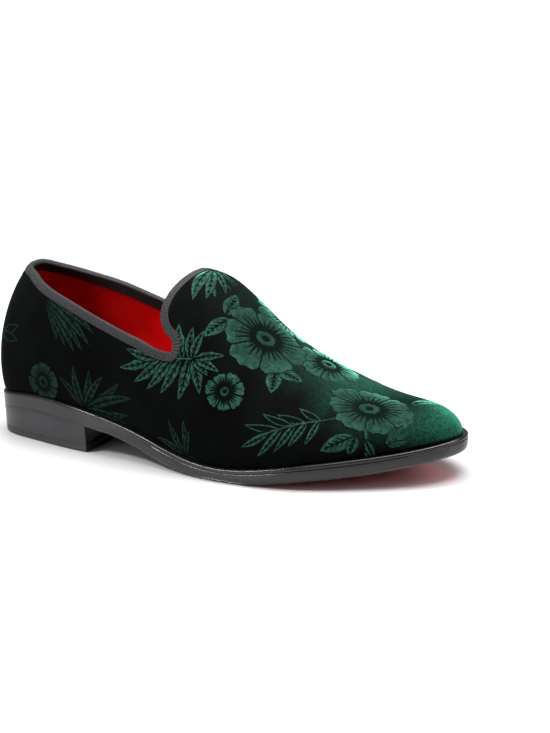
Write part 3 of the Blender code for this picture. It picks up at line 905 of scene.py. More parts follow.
def draw_outer_side(cloth):
    """Flowers and leaves of the outer side, the vamp and the toe."""
    spray(cloth, cloth.place(0.762, 0.978, 36), TONGUE_FAN)
    spot = cloth.place(0.269, 0.784, 22)
    blade(cloth, spot, (-1.0, 1.5), polar(19, 97), 9.0)
    blade(cloth, spot, (1.5, 0.0), polar(18, -106), 8.6)
    fern(cloth, cloth.place(0.256, 0.465, 56), polar(44, -174), PALM, 0.5)
    spot = cloth.place(0.320, 0.713, 22)
    blade(cloth, spot, (0.0, 0.0), polar(15, -72), 8.6)
    blade(cloth, spot, (1.0, 1.0), polar(16, 2), 7.4)
    flower(cloth, cloth.place(0.640, 0.950, 26), 17, 6, 0.2)
    flower(cloth, cloth.place(0.299, 0.872, 34), 23.5, 7, 0.35, squash=0.86, droop=0.13)
    flower(cloth, cloth.place(0.288, 0.427, 18), 10.6, 7, 0.1)
    spot = cloth.place(0.380, 0.465, 56, 0.9)
    fern(cloth, spot, polar(40, -150), MID_FERN)
    stem(cloth, spot, (0.0, 0.0), polar(12, 20), STALK, 0.1)
    flower(cloth, cloth.place(0.414, 0.699, 36, 0.82), 24.0, 7, 0.5, squash=0.68)
    spot = cloth.place(0.405, 0.281, 26, 0.8)
    blade(cloth, spot, (0.0, 0.0), polar(19, -142), 9.0)
    blade(cloth, spot, (1.5, 0.0), polar(10, -89), 6.0)
    spot = cloth.place(0.414, 0.320, 22, 0.75)
    stem(cloth, spot, polar(3, 90), polar(13, -66), 1.6)
    blade(cloth, spot, polar(4, -60), polar(16, -48), 4.0)
    spot = cloth.place(0.432, 0.098, 26, 0.65)
    for angle, length in ((37, 20), (55, 15), (68, 12), (20, 13)):
        blade(cloth, spot, polar(2, angle), polar(length, angle), 2.8, "line")
    spot = cloth.place(0.467, 0.840, 26, 0.9)
    blade(cloth, spot, (0.0, 0.0), polar(21, 55), 7.0)


def draw_heel(cloth):
    """Fainter motifs low on the outer side and round the heel, their low tone partly painted shade."""
    fern(cloth, cloth.place(0.096, 0.509, 44, 0.30), polar(9, 128), QUARTER_FROND, 0.0)
    spot = cloth.place(0.038, 0.339, 22, 0.34)
    blade(cloth, spot, (0.0, 0.0), polar(16, 22), 6.0, "hollow")
    blade(cloth, spot, (0.0, 0.0), polar(15, -11), 6.0, "hollow")
    flower(cloth, cloth.place(0.092, 0.088, 18, 0.38), 11.5, 6, 0.2, ring=0.30)
    spray(cloth, cloth.place(0.139, 0.004, 44, 0.32), LOW_FAN)
    spray(cloth, cloth.place(0.254, 0.006, 30, 0.40), WAIST_FAN)


def draw_inner_side(cloth):
    """Motifs of the inner side, fewer and wider apart."""
    flower(cloth, cloth.place(0.705, 0.700, 32), 21, 8, 0.3, ring=0.30)
    spot = cloth.place(0.618, 0.560, 26)
    blade(cloth, spot, (0.0, 0.0), polar(16, 160), 3.2, "line")
    blade(cloth, spot, (0.0, 0.0), polar(14, 120), 3.2, "line")
    stem(cloth, spot, (0.0, 0.0), polar(10, -30), STALK, 0.1)
    fern(cloth, cloth.place(0.600, 0.200, 44), polar(30, 15), INNER_FERN)
    spot = cloth.place(0.535, 0.420, 24)
    blade(cloth, spot, (0.0, 0.0), polar(20, 10), 4.0, "hollow")
    spray(cloth, cloth.place(0.780, 0.300, 44, 0.7), LOW_FAN)
    flower(cloth, cloth.place(0.868, 0.300, 22, 0.6), 12, 6, 0.4)
    spray(cloth, cloth.place(0.915, 0.500, 40, 0.6), HEEL_SPRAY)


# Velvet.
VELVET_PIECES = ("velvet_outer_heel", "velvet_outer_side", "velvet_forepart", "velvet_inner_side")
RELIEF = 0.22             # mm that a pressed shape stands out of the pile
FADE_OUT = 4              # mm from the sole or the ribbon over which relief and creases fade out
SOLE_DIP = 0.55           # mm that the cloth dips where it meets the sole
DIP_REACH = 2.0           # over so many mm
RIBBON_SWELL = 0.21       # mm that the cloth swells beside the ribbon
RIBBON_DIP = 0.25         # mm that it dips at the ribbon's very edge
DIP_AT_RIBBON = 1.2       # over so many mm
OVERLAP = 1.6             # mm of cloth under the ribbon
TUCKED_IN = 2.0           # mm of cloth turned in under the last
BACK_ROWS = 12            # rings of the cloth's hidden back
SWELL_PLACE = 2.0         # mm from the ribbon at which the cloth swells most
SWELL_WIDTH = 1.6         # mm over which it does
VEIN_DEPTH = 0.8          # share of the relief that a vein takes back
FAINT_RELIEF = 0.4        # share of the relief that the faintest shape keeps
CREASE_PARTS = 8          # straight parts that follow the skin along a crease
CREASE_LIP = 0.35         # share of a crease's depth that the cloth rises beside it
LIP_PLACE = 1.6           # at so many half widths

# Soft creases: turn and up of both ends, width mm, depth mm.
CREASES = [
    (0.330, 0.30, 0.352, 0.86, 11.0, 0.40),
    (0.372, 0.34, 0.382, 0.80, 9.0, 0.28),
    (0.655, 0.32, 0.640, 0.84, 11.0, 0.38),
    (0.243, 0.52, 0.300, 0.20, 13.0, 0.45),
    (0.205, 0.55, 0.150, 0.22, 16.0, 0.40),
    (0.775, 0.52, 0.720, 0.22, 14.0, 0.45),
    (0.060, 0.55, 0.048, 0.18, 14.0, 0.30),
]


def creases(points):
    """How far the cloth sinks at each point, in metres."""
    sink = np.zeros(len(points))
    for turn_a, up_a, turn_b, up_b, width, depth in CREASES:
        share = np.linspace(0.0, 1.0, CREASE_PARTS + 1)
        line = last_surface(turn_a + (turn_b - turn_a) * share, up_a + (up_b - up_a) * share)
        gap = np.full(len(points), 1.0)
        end = np.zeros(len(points))
        for number in range(CREASE_PARTS):
            arm = line[number + 1] - line[number]
            t = np.clip((points - line[number]) @ arm / (arm @ arm), 0.0, 1.0)
            distance = np.linalg.norm(points - line[number] - t[:, None] * arm, axis=1)
            nearer = distance < gap
            gap = np.where(nearer, distance, gap)
            end = np.where(nearer, (number + t) / CREASE_PARTS, end)
        fade = np.sin(np.pi * np.clip(end, 0.02, 0.98))
        across = gap / (width * MM / 2)
        fold = np.exp(-across ** 2) - CREASE_LIP * np.exp(-(across - LIP_PLACE) ** 2)
        sink += depth * MM * fade * fold
    return sink


def ring_normals(rings):
    """Outward directions over a stack of rings that closes both ways."""
    aside = np.roll(rings, -1, axis=1) - np.roll(rings, 1, axis=1)
    down = np.roll(rings, -1, axis=0) - np.roll(rings, 1, axis=0)
    return unit(np.cross(down, aside))


def build_velvet(look):
    """The velvet with its creases and pressed flowers, in sectors."""
    collar, turns = collar_line(VELVET_COLUMNS)
    under = walk(collar, (RIBBON_SEEN - OVERLAP) * MM)
    start = walk(under, OVERLAP * MM + CLEARANCE)
    feet = outline(turns)
    # Rows stand a little closer towards the sole.
    share = np.linspace(0.0, 1.0, VELVET_ROWS)
    share = 0.94 * share + 0.06 * np.sin(np.pi * share / 2)
    outer = skin(between(start, feet, share[:, None]))
    normal = ring_normals(outer)
    normal[0], normal[-1] = normal[1], normal[-2]
    to_sole = np.linalg.norm(outer - outer[-1:], axis=-1) / MM
    to_ribbon = np.linalg.norm(outer - outer[:1], axis=-1) / MM
    cloth = Cloth(outer.reshape(-1, 3), normal.reshape(-1, 3))
    draw_heel(cloth)
    draw_inner_side(cloth)
    draw_outer_side(cloth)
    raised = ease(cloth.bloom, -0.3, 0.5) * (1 - VEIN_DEPTH * ease(cloth.vein, -0.3, 0.2))
    lift = RELIEF * raised * (FAINT_RELIEF + (1 - FAINT_RELIEF) * cloth.tone)
    lift = lift - creases(cloth.points) / MM
    lift = lift.reshape(outer.shape[:2])
    lift = lift * ease(to_sole, 0.0, FADE_OUT) * ease(to_ribbon, 0.0, FADE_OUT)
    lift = lift - SOLE_DIP * (1 - ease(to_sole, 0.0, DIP_REACH))
    lift = lift + RIBBON_SWELL * np.exp(-((to_ribbon - SWELL_PLACE) / SWELL_WIDTH) ** 2)
    lift = lift - RIBBON_DIP * (1 - ease(to_ribbon, 0.0, DIP_AT_RIBBON))
    outer = outer + normal * lift[..., None] * MM
    rings = [offset(under, -CLOTH), offset(under, RIBBON_PROUD - RIBBON - CLEARANCE)]
    tucked = feet + inward(feet) * TUCKED_IN * MM
    rings += list(outer)
    rings.append(np.column_stack([tucked, seat_height(tucked[:, 0]) + 0.02 * MM]))
    rings.append(np.column_stack([tucked, seat_height(tucked[:, 0]) + CLOTH]))
    for part in np.linspace(0.95, 0.05, BACK_ROWS):
        back = skin(between(start, feet, part))
        rings.append(back - normal[int(part * (VELVET_ROWS - 1))] * CLOTH)
    rings = np.array(rings)
    facing = ring_normals(rings)
    fields = {}
    for name, values, blank in (("bloom", cloth.bloom, FAR), ("vein", cloth.vein, FAR),
                                ("tone", cloth.tone, 1.0)):
        whole = np.full(rings.shape[:2], blank)
        whole[2:2 + VELVET_ROWS] = values.reshape(VELVET_ROWS, -1)
        fields[name] = whole
    pieces = []
    cuts = np.linspace(0, VELVET_COLUMNS, len(VELVET_PIECES) + 1).astype(int)
    for name, low, high in zip(VELVET_PIECES, cuts[:-1], cuts[1:]):
        pieces.append(velvet_sector(name, rings, facing, fields, low, high, look))
    return pieces


def velvet_sector(name, rings, facing, fields, low, high, look):
    """One closed stretch of the cloth between two columns."""
    columns = np.arange(low, high + 1) % rings.shape[1]
    rows, width = rings.shape[0], len(columns)
    start_cap = [row * width for row in range(rows)][::-1]
    end_cap = [row * width + width - 1 for row in range(rows)]
    points = rings[:, columns].reshape(-1, 3)
    thing = make_mesh(name, points, net(rows, width, True, False), look, [start_cap, end_cap])
    for key, values in fields.items():
        give(thing, key, values[:, columns])
    thing.data.normals_split_custom_set_from_vertices(facing[:, columns].reshape(-1, 3))
    return thing


# Lining and binding.
LINING_OVERLAP = 1.4      # mm of lining under the ribbon
LINING_GAP = 0.45         # mm of padding between the cloth and the lining
LINING_ROWS = 34
LINING_BACK_ROWS = 15
LINING_WAVE = 0.15        # mm that the lining swells here and there on its way down
LINING_WAVES = 9          # radians of that wave from the ribbon to the footbed


def build_lining(look):
    """Smooth leather lining inside the velvet, down to the insole."""
    collar, turns = collar_line(LINING_COLUMNS)
    under = walk(collar, (RIBBON_BACK - LINING_OVERLAP) * MM)
    start = walk(under, LINING_OVERLAP * MM + CLEARANCE)
    feet = outline(turns)
    low = height_on_lining(start, feet, MARGIN_THICKNESS)
    rings = []
    for share in np.linspace(0.0, 1.0, LINING_BACK_ROWS):
        rings.append(offset(between(start, feet, low * share), -CLOTH - LINING_GAP * MM))
    for share in np.linspace(1.0, 0.0, LINING_ROWS):
        swell = LINING_WAVE * MM * np.sin(LINING_WAVES * share) ** 2
        rings.append(offset(between(start, feet, low * share), -WALL + swell))
    rings.append(offset(under, RIBBON - WALL - RIBBON_PROUD_INSIDE + CLEARANCE))
    return tube("leather_lining", rings, look)


# Rows of the ribbon, from the fold down its outer leaf, back under it, down under
# the inner leaf and up its face: mm from the fold, leaf, mm below its face, share of
# the ribs' height, share of painted shade on the inside.
RIBBON_ROWS = [
    (1.0, "outer", 0.0, 1.0, 0.0),
    (2.0, "outer", -0.06, 1.0, 0.0),
    (3.0, "outer", -0.06, 1.0, 0.0),
    (3.7, "outer", 0.0, 1.0, 0.0),
    (4.1, "outer", 0.05, 1.0, 0.0),
    (RIBBON_SEEN, "outer", 0.12, 0.6, 0.0),
    (RIBBON_SEEN, "outer", 0.45, 0.0, 0.0),
    (4.1, "outer", 0.60, 0.0, 0.0),
    (3.0, "outer", 0.60, 0.0, 0.0),
    (1.0, "outer", 0.60, 0.0, 0.0),
    (1.0, "inner", 0.60, 0.0, 0.0),
    (3.7, "inner", 0.60, 0.0, 1.0),
    (6.8, "inner", 0.60, 0.0, 1.0),
    (RIBBON_BACK, "inner", 0.60, 0.0, 1.0),
    (RIBBON_BACK, "inner", 0.20, 0.5, 1.0),
    (6.8, "inner", 0.0, 1.0, 1.0),
    (4.1, "inner", 0.0, 1.0, 1.0),
    (3.0, "inner", 0.0, 1.0, 1.0),
    (2.0, "inner", 0.0, 1.0, 1.0),
    (1.0, "inner", 0.0, 1.0, 1.0),
]
FOLD_ROWS = 11
FOLD_RISE = 0.75          # height of the fold's arch, mm
FOLD_SINK = 0.15          # mm below the collar's edge at which the arch starts
RIB_HEIGHT = 0.16         # mm
RIB_WAVER = 0.25          # share of a pitch that the ribs stray
WAVER_LENGTH = 4.0        # mm over which they do
RIB_SEED = 3.0


def build_binding(look):
    """Grosgrain ribbon folded over the collar edge, ribs made by nodes."""
    collar, _turns = collar_line(BINDING_COLUMNS)
    points, normal, _ahead, _aside = skin_frame(collar)
    rise = unit(np.cross(normal, around(points)))
    out = RIBBON_PROUD
    inner = -WALL - RIBBON_PROUD_INSIDE
    walked = {0.0: collar}
    for distance in sorted({row[0] for row in RIBBON_ROWS}):
        reached = max(walked)
        walked[distance] = walk(walked[reached], (distance - reached) * MM)
    middle = (out + inner) / 2
    radius = (out - inner) / 2
    rings = []
    shares = [1.0] * FOLD_ROWS
    inside = []
    for angle in np.linspace(math.pi, 0.0, FOLD_ROWS):
        across = middle + radius * math.cos(angle)
        up = FOLD_RISE * math.sin(angle) ** 0.6 - FOLD_SINK
        rings.append(points + normal * across + rise * up * MM)
        inside.append(0.5 - 0.5 * math.cos(angle))
    for distance, leaf, below, show, dark in RIBBON_ROWS:
        level = out - below * MM if leaf == "outer" else inner + below * MM
        rings.append(offset(walked[distance], level))
        shares.append(show)
        inside.append(dark)
    thing = tube("ribbon_binding", rings, look)
    running = chord_lengths(np.vstack([points, points[:1]]))
    ribs = round(running[-1] / MM / RIB_PITCH)
    along = running[:-1] / running[-1] * ribs
    give(thing, "along", np.tile(along, len(rings)))
    give(thing, "ribbed", np.repeat(shares, BINDING_COLUMNS))
    give(thing, "inside", np.repeat(inside, BINDING_COLUMNS))
    return rib_by_nodes(thing, look)


def rib_by_nodes(thing, look):
    """Geometry nodes that raise one rounded rib for each pitch of the ribbon."""
    tree = bpy.data.node_groups.new("ribbon_ribs", "GeometryNodeTree")
    for name, kind, way in (("Geometry", "NodeSocketGeometry", "INPUT"),
                            ("Rib height", "NodeSocketFloat", "INPUT"),
                            ("Waver", "NodeSocketFloat", "INPUT"),
                            ("Seed", "NodeSocketFloat", "INPUT"),
                            ("Geometry", "NodeSocketGeometry", "OUTPUT")):
        tree.interface.new_socket(name=name, in_out=way, socket_type=kind)
    start = add(tree, "NodeGroupInput")
    along = add(tree, "GeometryNodeInputNamedAttribute", {"Name": "along"}, data_type="FLOAT")
    ribbed = add(tree, "GeometryNodeInputNamedAttribute", {"Name": "ribbed"}, data_type="FLOAT")
    noise = add(tree, NOISE, {"W": start.outputs["Seed"], "Scale": PER_MM / WAVER_LENGTH, "Detail": 1.0},
                noise_dimensions="4D")
    phase = add(tree, MATH, {0: noise, 1: start.outputs["Waver"], 2: along.outputs[0]},
                operation="MULTIPLY_ADD")
    turns = add(tree, MATH, {0: phase, 1: 2 * math.pi}, operation="MULTIPLY")
    wave = add(tree, MATH, {0: turns}, operation="SINE")
    tall = add(tree, MATH, {0: wave, 1: start.outputs["Rib height"]}, operation="MULTIPLY")
    tall = add(tree, MATH, {0: tall, 1: ribbed.outputs[0]}, operation="MULTIPLY")
    normal = add(tree, "GeometryNodeInputNormal")
    push = add(tree, "ShaderNodeVectorMath", {0: normal, "Scale": tall}, operation="SCALE")
    move = add(tree, "GeometryNodeSetPosition", {"Geometry": start.outputs["Geometry"], "Offset": push})
    real = add(tree, "GeometryNodeRealizeInstances", {0: move})
    paint = add(tree, "GeometryNodeSetMaterial", {"Geometry": real, "Material": look})
    add(tree, "NodeGroupOutput", {"Geometry": paint})
    change = thing.modifiers.new("ribs", "NODES")
    change.node_group = tree
    for name, value in (("Rib height", RIB_HEIGHT * MM), ("Waver", RIB_WAVER), ("Seed", RIB_SEED)):
        socket = [s for s in tree.interface.items_tree if s.name == name][0]
        change[socket.identifier] = value
    return settle(thing)


def settle(thing):
    """Turn the result of the modifiers into a plain mesh."""
    graph = bpy.context.evaluated_depsgraph_get()
    plain = bpy.data.meshes.new_from_object(thing.evaluated_get(graph))
    thing.modifiers.clear()
    thing.data = plain
    return thing


# Sole and heel.
# Section of the sole's edge: mm set back, share of the height from the upper down.
SOLE_ROWS = [
    (0.90, 0.000),
    (0.45, 0.010),
    (0.15, 0.045),
    (0.00, 0.100),
    (0.00, GROOVE_TOP),
    (0.12, GROOVE_TOP + 0.015),
    (0.55, GROOVE_TOP + 0.035),
    (0.55, GROOVE_BOTTOM - 0.035),
    (0.12, GROOVE_BOTTOM - 0.015),
    (0.00, GROOVE_BOTTOM),
    (0.00, 0.400),
    (0.06, 0.500),
    (0.16, 0.600),
    (0.30, 0.710),
    (0.50, 0.820),
    (0.80, 0.920),
    (1.40, 1.000),
]
LOWER_EDGE = 0.45         # share of the height from which the edge is upright over the heel
HEEL_SHARE = 0.03         # what is left there of its setting back
EDGE_TURNS = (BREAST - 0.005, BREAST + 0.06)    # shares of the length between which it changes
GROOVE_STARTS = (0.36, 0.52)    # shares of the length between which the groove deepens
RED_BAND = 0.5            # mm over the underside up to which faces can be red
RED_TILT = -0.75          # how far down a red face looks
HEEL_GAP = 0.02           # mm between the heel and the sole, and that the heel is set back
TAPER_KEPT = 0.3          # share of the CAD heel's taper, as the real one hardly narrows


def build_outsole(edge_look, bottom_look):
    """Outsole: rounded edge with a thin upper band and groove, red underside."""
    rings = []
    for inset, share in SOLE_ROWS:
        plan = sole_ring(edge_spread())
        along = plan[:, 0] / LENGTH
        fade = np.ones(len(plan))
        if GROOVE_TOP < share < GROOVE_BOTTOM:
            fade = ease(along, *GROOVE_STARTS)
        if share > LOWER_EDGE:
            fade = HEEL_SHARE + (1 - HEEL_SHARE) * ease(along, *EDGE_TURNS)
        plan = plan + inward(plan) * (inset * MM * fade)[:, None]
        top = seat_height(plan[:, 0]) - CLEARANCE
        bottom = sole_height(plan[:, 0])
        rings.append(np.column_stack([plan, top + (bottom - top) * share]))
    thing = slab("leather_outsole", rings, edge_look, SOLE_STRIPS)
    thing.data.materials.append(bottom_look)
    facing = np.zeros(len(thing.data.polygons) * 3, np.float32)
    middle = np.zeros_like(facing)
    thing.data.polygons.foreach_get("normal", facing)
    thing.data.polygons.foreach_get("center", middle)
    middle = middle.reshape(-1, 3) - SHIFT
    low = middle[:, 2] < sole_height(middle[:, 0]) + RED_BAND * MM
    below = (facing.reshape(-1, 3)[:, 2] < RED_TILT) & low
    thing.data.polygons.foreach_set("material_index", below.astype(np.int32))
    return thing


def heel_ring(spread):
    """Plan ring of the heel with its hollow front face."""
    plan = spread_outline(spread)
    front = BREAST * LENGTH
    middle = FINE // 2
    stop = np.argmax(plan[:middle, 0] > front)
    start = middle + np.argmax(plan[middle:, 0] < front)
    arc = np.vstack([plan[start:FINE], plan[:stop]])
    length = chord_lengths(arc)
    want = np.linspace(0.0, length[-1], HEEL_COLUMNS + 1)
    arc = np.column_stack([np.interp(want, length, arc[:, 0]), np.interp(want, length, arc[:, 1])])
    share = np.linspace(0.0, 1.0, BREAST_COLUMNS + 1)[1:-1]
    face = arc[-1] + (arc[0] - arc[-1]) * share[:, None]
    face[:, 0] -= BREAST_HOLLOW * 4 * share * (1 - share)
    return np.roll(np.vstack([arc, face]), -HEEL_COLUMNS // 2, axis=0)


def heel_piece(name, rows, look):
    """Stacked heel rings.  Rows: spread and height, a number or a function."""
    rings = []
    for spread, height in rows:
        plan = heel_ring(spread)
        level = height(plan[:, 0]) if callable(height) else np.full(len(plan), height)
        rings.append(np.column_stack([plan, level]))
    return slab(name, rings, look, HEEL_STRIPS)


def build_heel_block(look):
    """Heel block under the sole, down to the top lift."""
    def under_sole(drop):
        return lambda along: sole_height(along) - HEEL_GAP * MM - drop

    top_spread = edge_spread(HEEL_GAP * MM)
    low_spread = top_spread - TAPER_KEPT * HEEL_TAPER
    low = LIFT_THICKNESS + 2 * HEEL_GAP * MM
    rows = [
        (top_spread - 0.03 * MM, under_sole(-0.015 * MM)),
        (top_spread - 0.01 * MM, under_sole(0.01 * MM)),
        (top_spread, under_sole(0.04 * MM)),
        (top_spread - 0.9 * TAPER_KEPT * HEEL_TAPER, under_sole(4.0 * MM)),
        (low_spread, low + 0.15 * MM),
        (low_spread - 0.04 * MM, low + 0.05 * MM),
        (low_spread - 0.12 * MM, low),
    ]
    return heel_piece("stacked_heel", rows, look)


def build_top_lift(look):
    """Wearing piece under the heel."""
    spread = edge_spread(HEEL_GAP * MM + TAPER_KEPT * HEEL_TAPER)
    rows = [
        (spread - 0.12 * MM, LIFT_THICKNESS),
        (spread - 0.04 * MM, LIFT_THICKNESS - 0.05 * MM),
        (spread, LIFT_THICKNESS - 0.2 * MM),
        (spread, 0.7 * MM),
        (spread - 0.15 * MM, 0.15 * MM),
        (spread - 0.6 * MM, 0.0),
    ]
    return heel_piece("rubber_top_lift", rows, look)


def build_insole(look):
    """Padded footbed on the turned-in margin."""
    collar, turns = collar_line(INSOLE_COLUMNS)
    start = walk(collar, RIBBON_INSIDE + 2 * CLEARANCE)
    feet = outline(turns)
    bed = MARGIN_THICKNESS + CLEARANCE
    top = bed + INSOLE_THICKNESS
    spots = np.linspace(0.0, 1.0, 4 * INSOLE_COLUMNS, endpoint=False)
    walls = []
    for rise in (bed, top):
        points = offset(between(start, feet, height_on_lining(start, feet, rise)), -WALL)
        gaps = np.linalg.norm(points[:, None, :2] - outline(spots)[None], axis=-1)
        at = spots[gaps.argmin(axis=1)]
        order = np.argsort(at)
        walls.append(np.interp(FINE_TURNS, at[order], gaps.min(axis=1)[order], period=1.0))
    low_wall, high_wall = walls
    rows = [
        (high_wall + 1.3 * MM, top),
        (high_wall + 0.7 * MM, top - 0.1 * MM),
        (high_wall + 0.4 * MM, top - 0.5 * MM),
        (np.maximum(low_wall, high_wall) + 0.4 * MM, bed),
        (MARGIN + CLEARANCE, bed),
        (MARGIN + 2 * CLEARANCE, 0.1 * MM),
    ]
    rings = []
    for spread, height in rows:
        ring = sole_ring(-spread)
        rings.append(np.column_stack([ring, seat_height(ring[:, 0]) + height]))
    return slab("padded_insole", rings, look, INSOLE_STRIPS)


# Looks.
def new_look(name, **values):
    """Material with its shader, tree and object coordinates."""
    look = bpy.data.materials.new(name)
    look.use_nodes = True
    tree = look.node_tree
    shader = tree.nodes["Principled BSDF"]
    feed(tree, shader, {socket.replace("_", " "): value for socket, value in values.items()})
    place = add(tree, "ShaderNodeTexCoord").outputs["Object"]
    return look, tree, shader, place


# Which way the cloth must face for the painted sheen, towards the light: shares of toe, inner side and
# up.
PAINTED_SHEEN_TOWARDS = (0.88, 0.05, 0.47)


def velvet_look():
    """Cotton velvet, cut pile, flowers pressed in with a hot roller.

    Straight on the pile swallows light and reads near black; a painted sheen
    turns it green where it faces the light over the toe and the instep.  The pressed pile
    lies flat and stays light, lightest along its rim, with painted shade where it
    faces the light and a painted highlight where it is seen edge-on.
    """
    look, tree, shader, place = new_look(
        "pressed_cut_pile_velvet", Roughness=0.9, Sheen_Weight=0.035, Sheen_Roughness=0.35,
        Sheen_Tint=colour("#8FB8A8"), Specular_IOR_Level=0.02)
    bloom, vein, tone = (add(tree, "ShaderNodeAttribute", attribute_name=name).outputs["Fac"]
                         for name in ("bloom", "vein", "tone"))
    # Tufts are 0.2 mm wide; 1.1 mm is as fine as the picture can show.
    grain = add(tree, NOISE, {"Vector": place, "Scale": PER_MM / 1.1, "Detail": 3.0, "Roughness": 0.7})
    mottle = add(tree, NOISE, {"Vector": place, "Scale": PER_MM / 3.4, "Detail": 4.0, "Roughness": 0.65})
    patches = add(tree, NOISE, {"Vector": place, "Scale": PER_MM / 26.0})
    # The pressed shapes and the dark lines in them; the grain frays their edges.
    fray = add(tree, MATH, {0: grain, 1: 0.5}, operation="SUBTRACT")
    body = add(tree, MATH, {0: fray, 1: 0.45, 2: bloom}, operation="MULTIPLY_ADD")
    body = add(tree, SPAN, {0: body, 1: -0.10, 2: 0.30}, **EASED)
    lines = add(tree, MATH, {0: fray, 1: 0.45, 2: vein}, operation="MULTIPLY_ADD")
    lines = add(tree, SPAN, {0: lines, 1: -0.25, 2: 0.12}, **EASED)
    engraved = add(tree, MATH, {0: body, 1: lines}, operation="MULTIPLY")
    shape = add(tree, MATH, {0: body, 1: engraved}, operation="SUBTRACT")
    # The tone dims the shapes, partly as painted shade.
    shape = add(tree, MATH, {0: shape, 1: tone}, operation="MULTIPLY")
    # Painted sheen: where the cloth faces the light, more so towards the toe, how steeply it is seen,
    # and the tufts in it.
    normal = add(tree, "ShaderNodeTexCoord").outputs["Normal"]
    turn_to_light = add(tree, "ShaderNodeVectorMath", {0: normal, 1: PAINTED_SHEEN_TOWARDS}, operation="DOT_PRODUCT")
    along = add(tree, "ShaderNodeSeparateXYZ", {0: place})
    toe = add(tree, SPAN, {0: along, 1: 0.025, 2: 0.125, 3: 0.0, 4: 0.17}, **EASED)
    turn_to_light = add(tree, MATH, {0: turn_to_light, 1: toe}, operation="ADD")
    faces_light = add(tree, SPAN, {0: turn_to_light, 1: 0.60, 2: 1.16}, **EASED)
    facing = add(tree, "ShaderNodeLayerWeight", {"Blend": 0.5}).outputs["Facing"]
    graze = add(tree, SPAN, {0: facing, 1: 0.20, 2: 1.0, 3: 0.42, 4: 1.30}, **EASED)
    speckle = add(tree, SPAN, {0: grain, 1: 0.34, 2: 0.66, 3: 0.42, 4: 1.42}, **EASED)
    forward = add(tree, SPAN, {0: along, 1: 0.005, 2: 0.125, 3: 0.12, 4: 1.02}, **EASED)
    painted_sheen = add(tree, MATH, {0: faces_light, 1: graze}, operation="MULTIPLY")
    painted_sheen = add(tree, MATH, {0: painted_sheen, 1: speckle}, operation="MULTIPLY")
    painted_sheen = add(tree, MATH, {0: painted_sheen, 1: forward}, operation="MULTIPLY", use_clamp=True)
    # The standing pile: black, with a painted sheen in green that grows towards the toe.
    depth = add(tree, SPAN, {0: patches, 1: 0.35, 2: 0.70}, **EASED)
    pile = add(tree, MIX, {0: depth, TINT_A: colour("#030303"), TINT_B: colour("#050706")}, **COLOURS)
    painted_light_along_length = add(tree, MIX, {0: forward, TINT_A: colour("#35504A"), TINT_B: colour("#266652")}, **COLOURS)
    pile = add(tree, MIX, {0: painted_sheen, TINT_A: pile, TINT_B: painted_light_along_length}, **COLOURS)
    # The pressed pile: lightest at its rim, worn in spots, with painted shade where it faces the light
    # and a painted highlight where it is seen edge-on.
    rim = add(tree, SPAN, {0: bloom, 1: 0.8, 2: 7.5, 3: 0.0, 4: 0.62}, **EASED)
    flat = add(tree, MIX, {0: rim, TINT_A: colour("#2A4E41"), TINT_B: colour("#152E26")}, **COLOURS)
    wear_and_painted_shade = add(tree, SPAN, {0: mottle, 1: 0.36, 2: 0.62, 3: 0.62, 4: 0.0}, **EASED)
    flat = add(tree, MIX, {0: wear_and_painted_shade, TINT_A: flat, TINT_B: colour("#0C1D17")}, **COLOURS)
    stipple = add(tree, SPAN, {0: grain, 1: 0.36, 2: 0.66, 3: 0.55, 4: 0.0}, **EASED)
    flat = add(tree, MIX, {0: stipple, TINT_A: flat, TINT_B: colour("#0A1813")}, **COLOURS)
    # Painted shade: the pressed pile is darkened where it faces the light.
    turned = add(tree, MATH, {0: faces_light, 1: 0.62}, operation="MULTIPLY")
    flat = add(tree, MIX, {0: turned, TINT_A: flat, TINT_B: colour("#0A1813")}, **COLOURS)
    # Painted highlight: pale green on the pressed pile seen edge-on, broken by the grain.
    painted_highlight = add(tree, SPAN, {0: facing, 1: 0.50, 2: 0.95, 3: 0.0, 4: 0.95}, **EASED)
    painted_highlight = add(tree, MATH, {0: painted_highlight, 1: speckle}, operation="MULTIPLY", use_clamp=True)
    flat = add(tree, MIX, {0: painted_highlight, TINT_A: flat, TINT_B: colour("#5AA88C")}, **COLOURS)
    both = add(tree, MIX, {0: shape, TINT_A: pile, TINT_B: flat}, **COLOURS)
    cut = add(tree, MATH, {0: engraved, 1: 0.85}, operation="MULTIPLY")
    base = add(tree, MIX, {0: cut, TINT_A: both, TINT_B: colour("#030705")}, **COLOURS)
    height = add(tree, MATH, {0: shape, 1: 0.3, 2: grain}, operation="MULTIPLY_ADD")
    relief = add(tree, "ShaderNodeBump", {"Height": height, "Distance": 0.25 * MM, "Strength": 0.6})
    feed(tree, shader, {"Base Color": base, "Normal": relief})
    return look


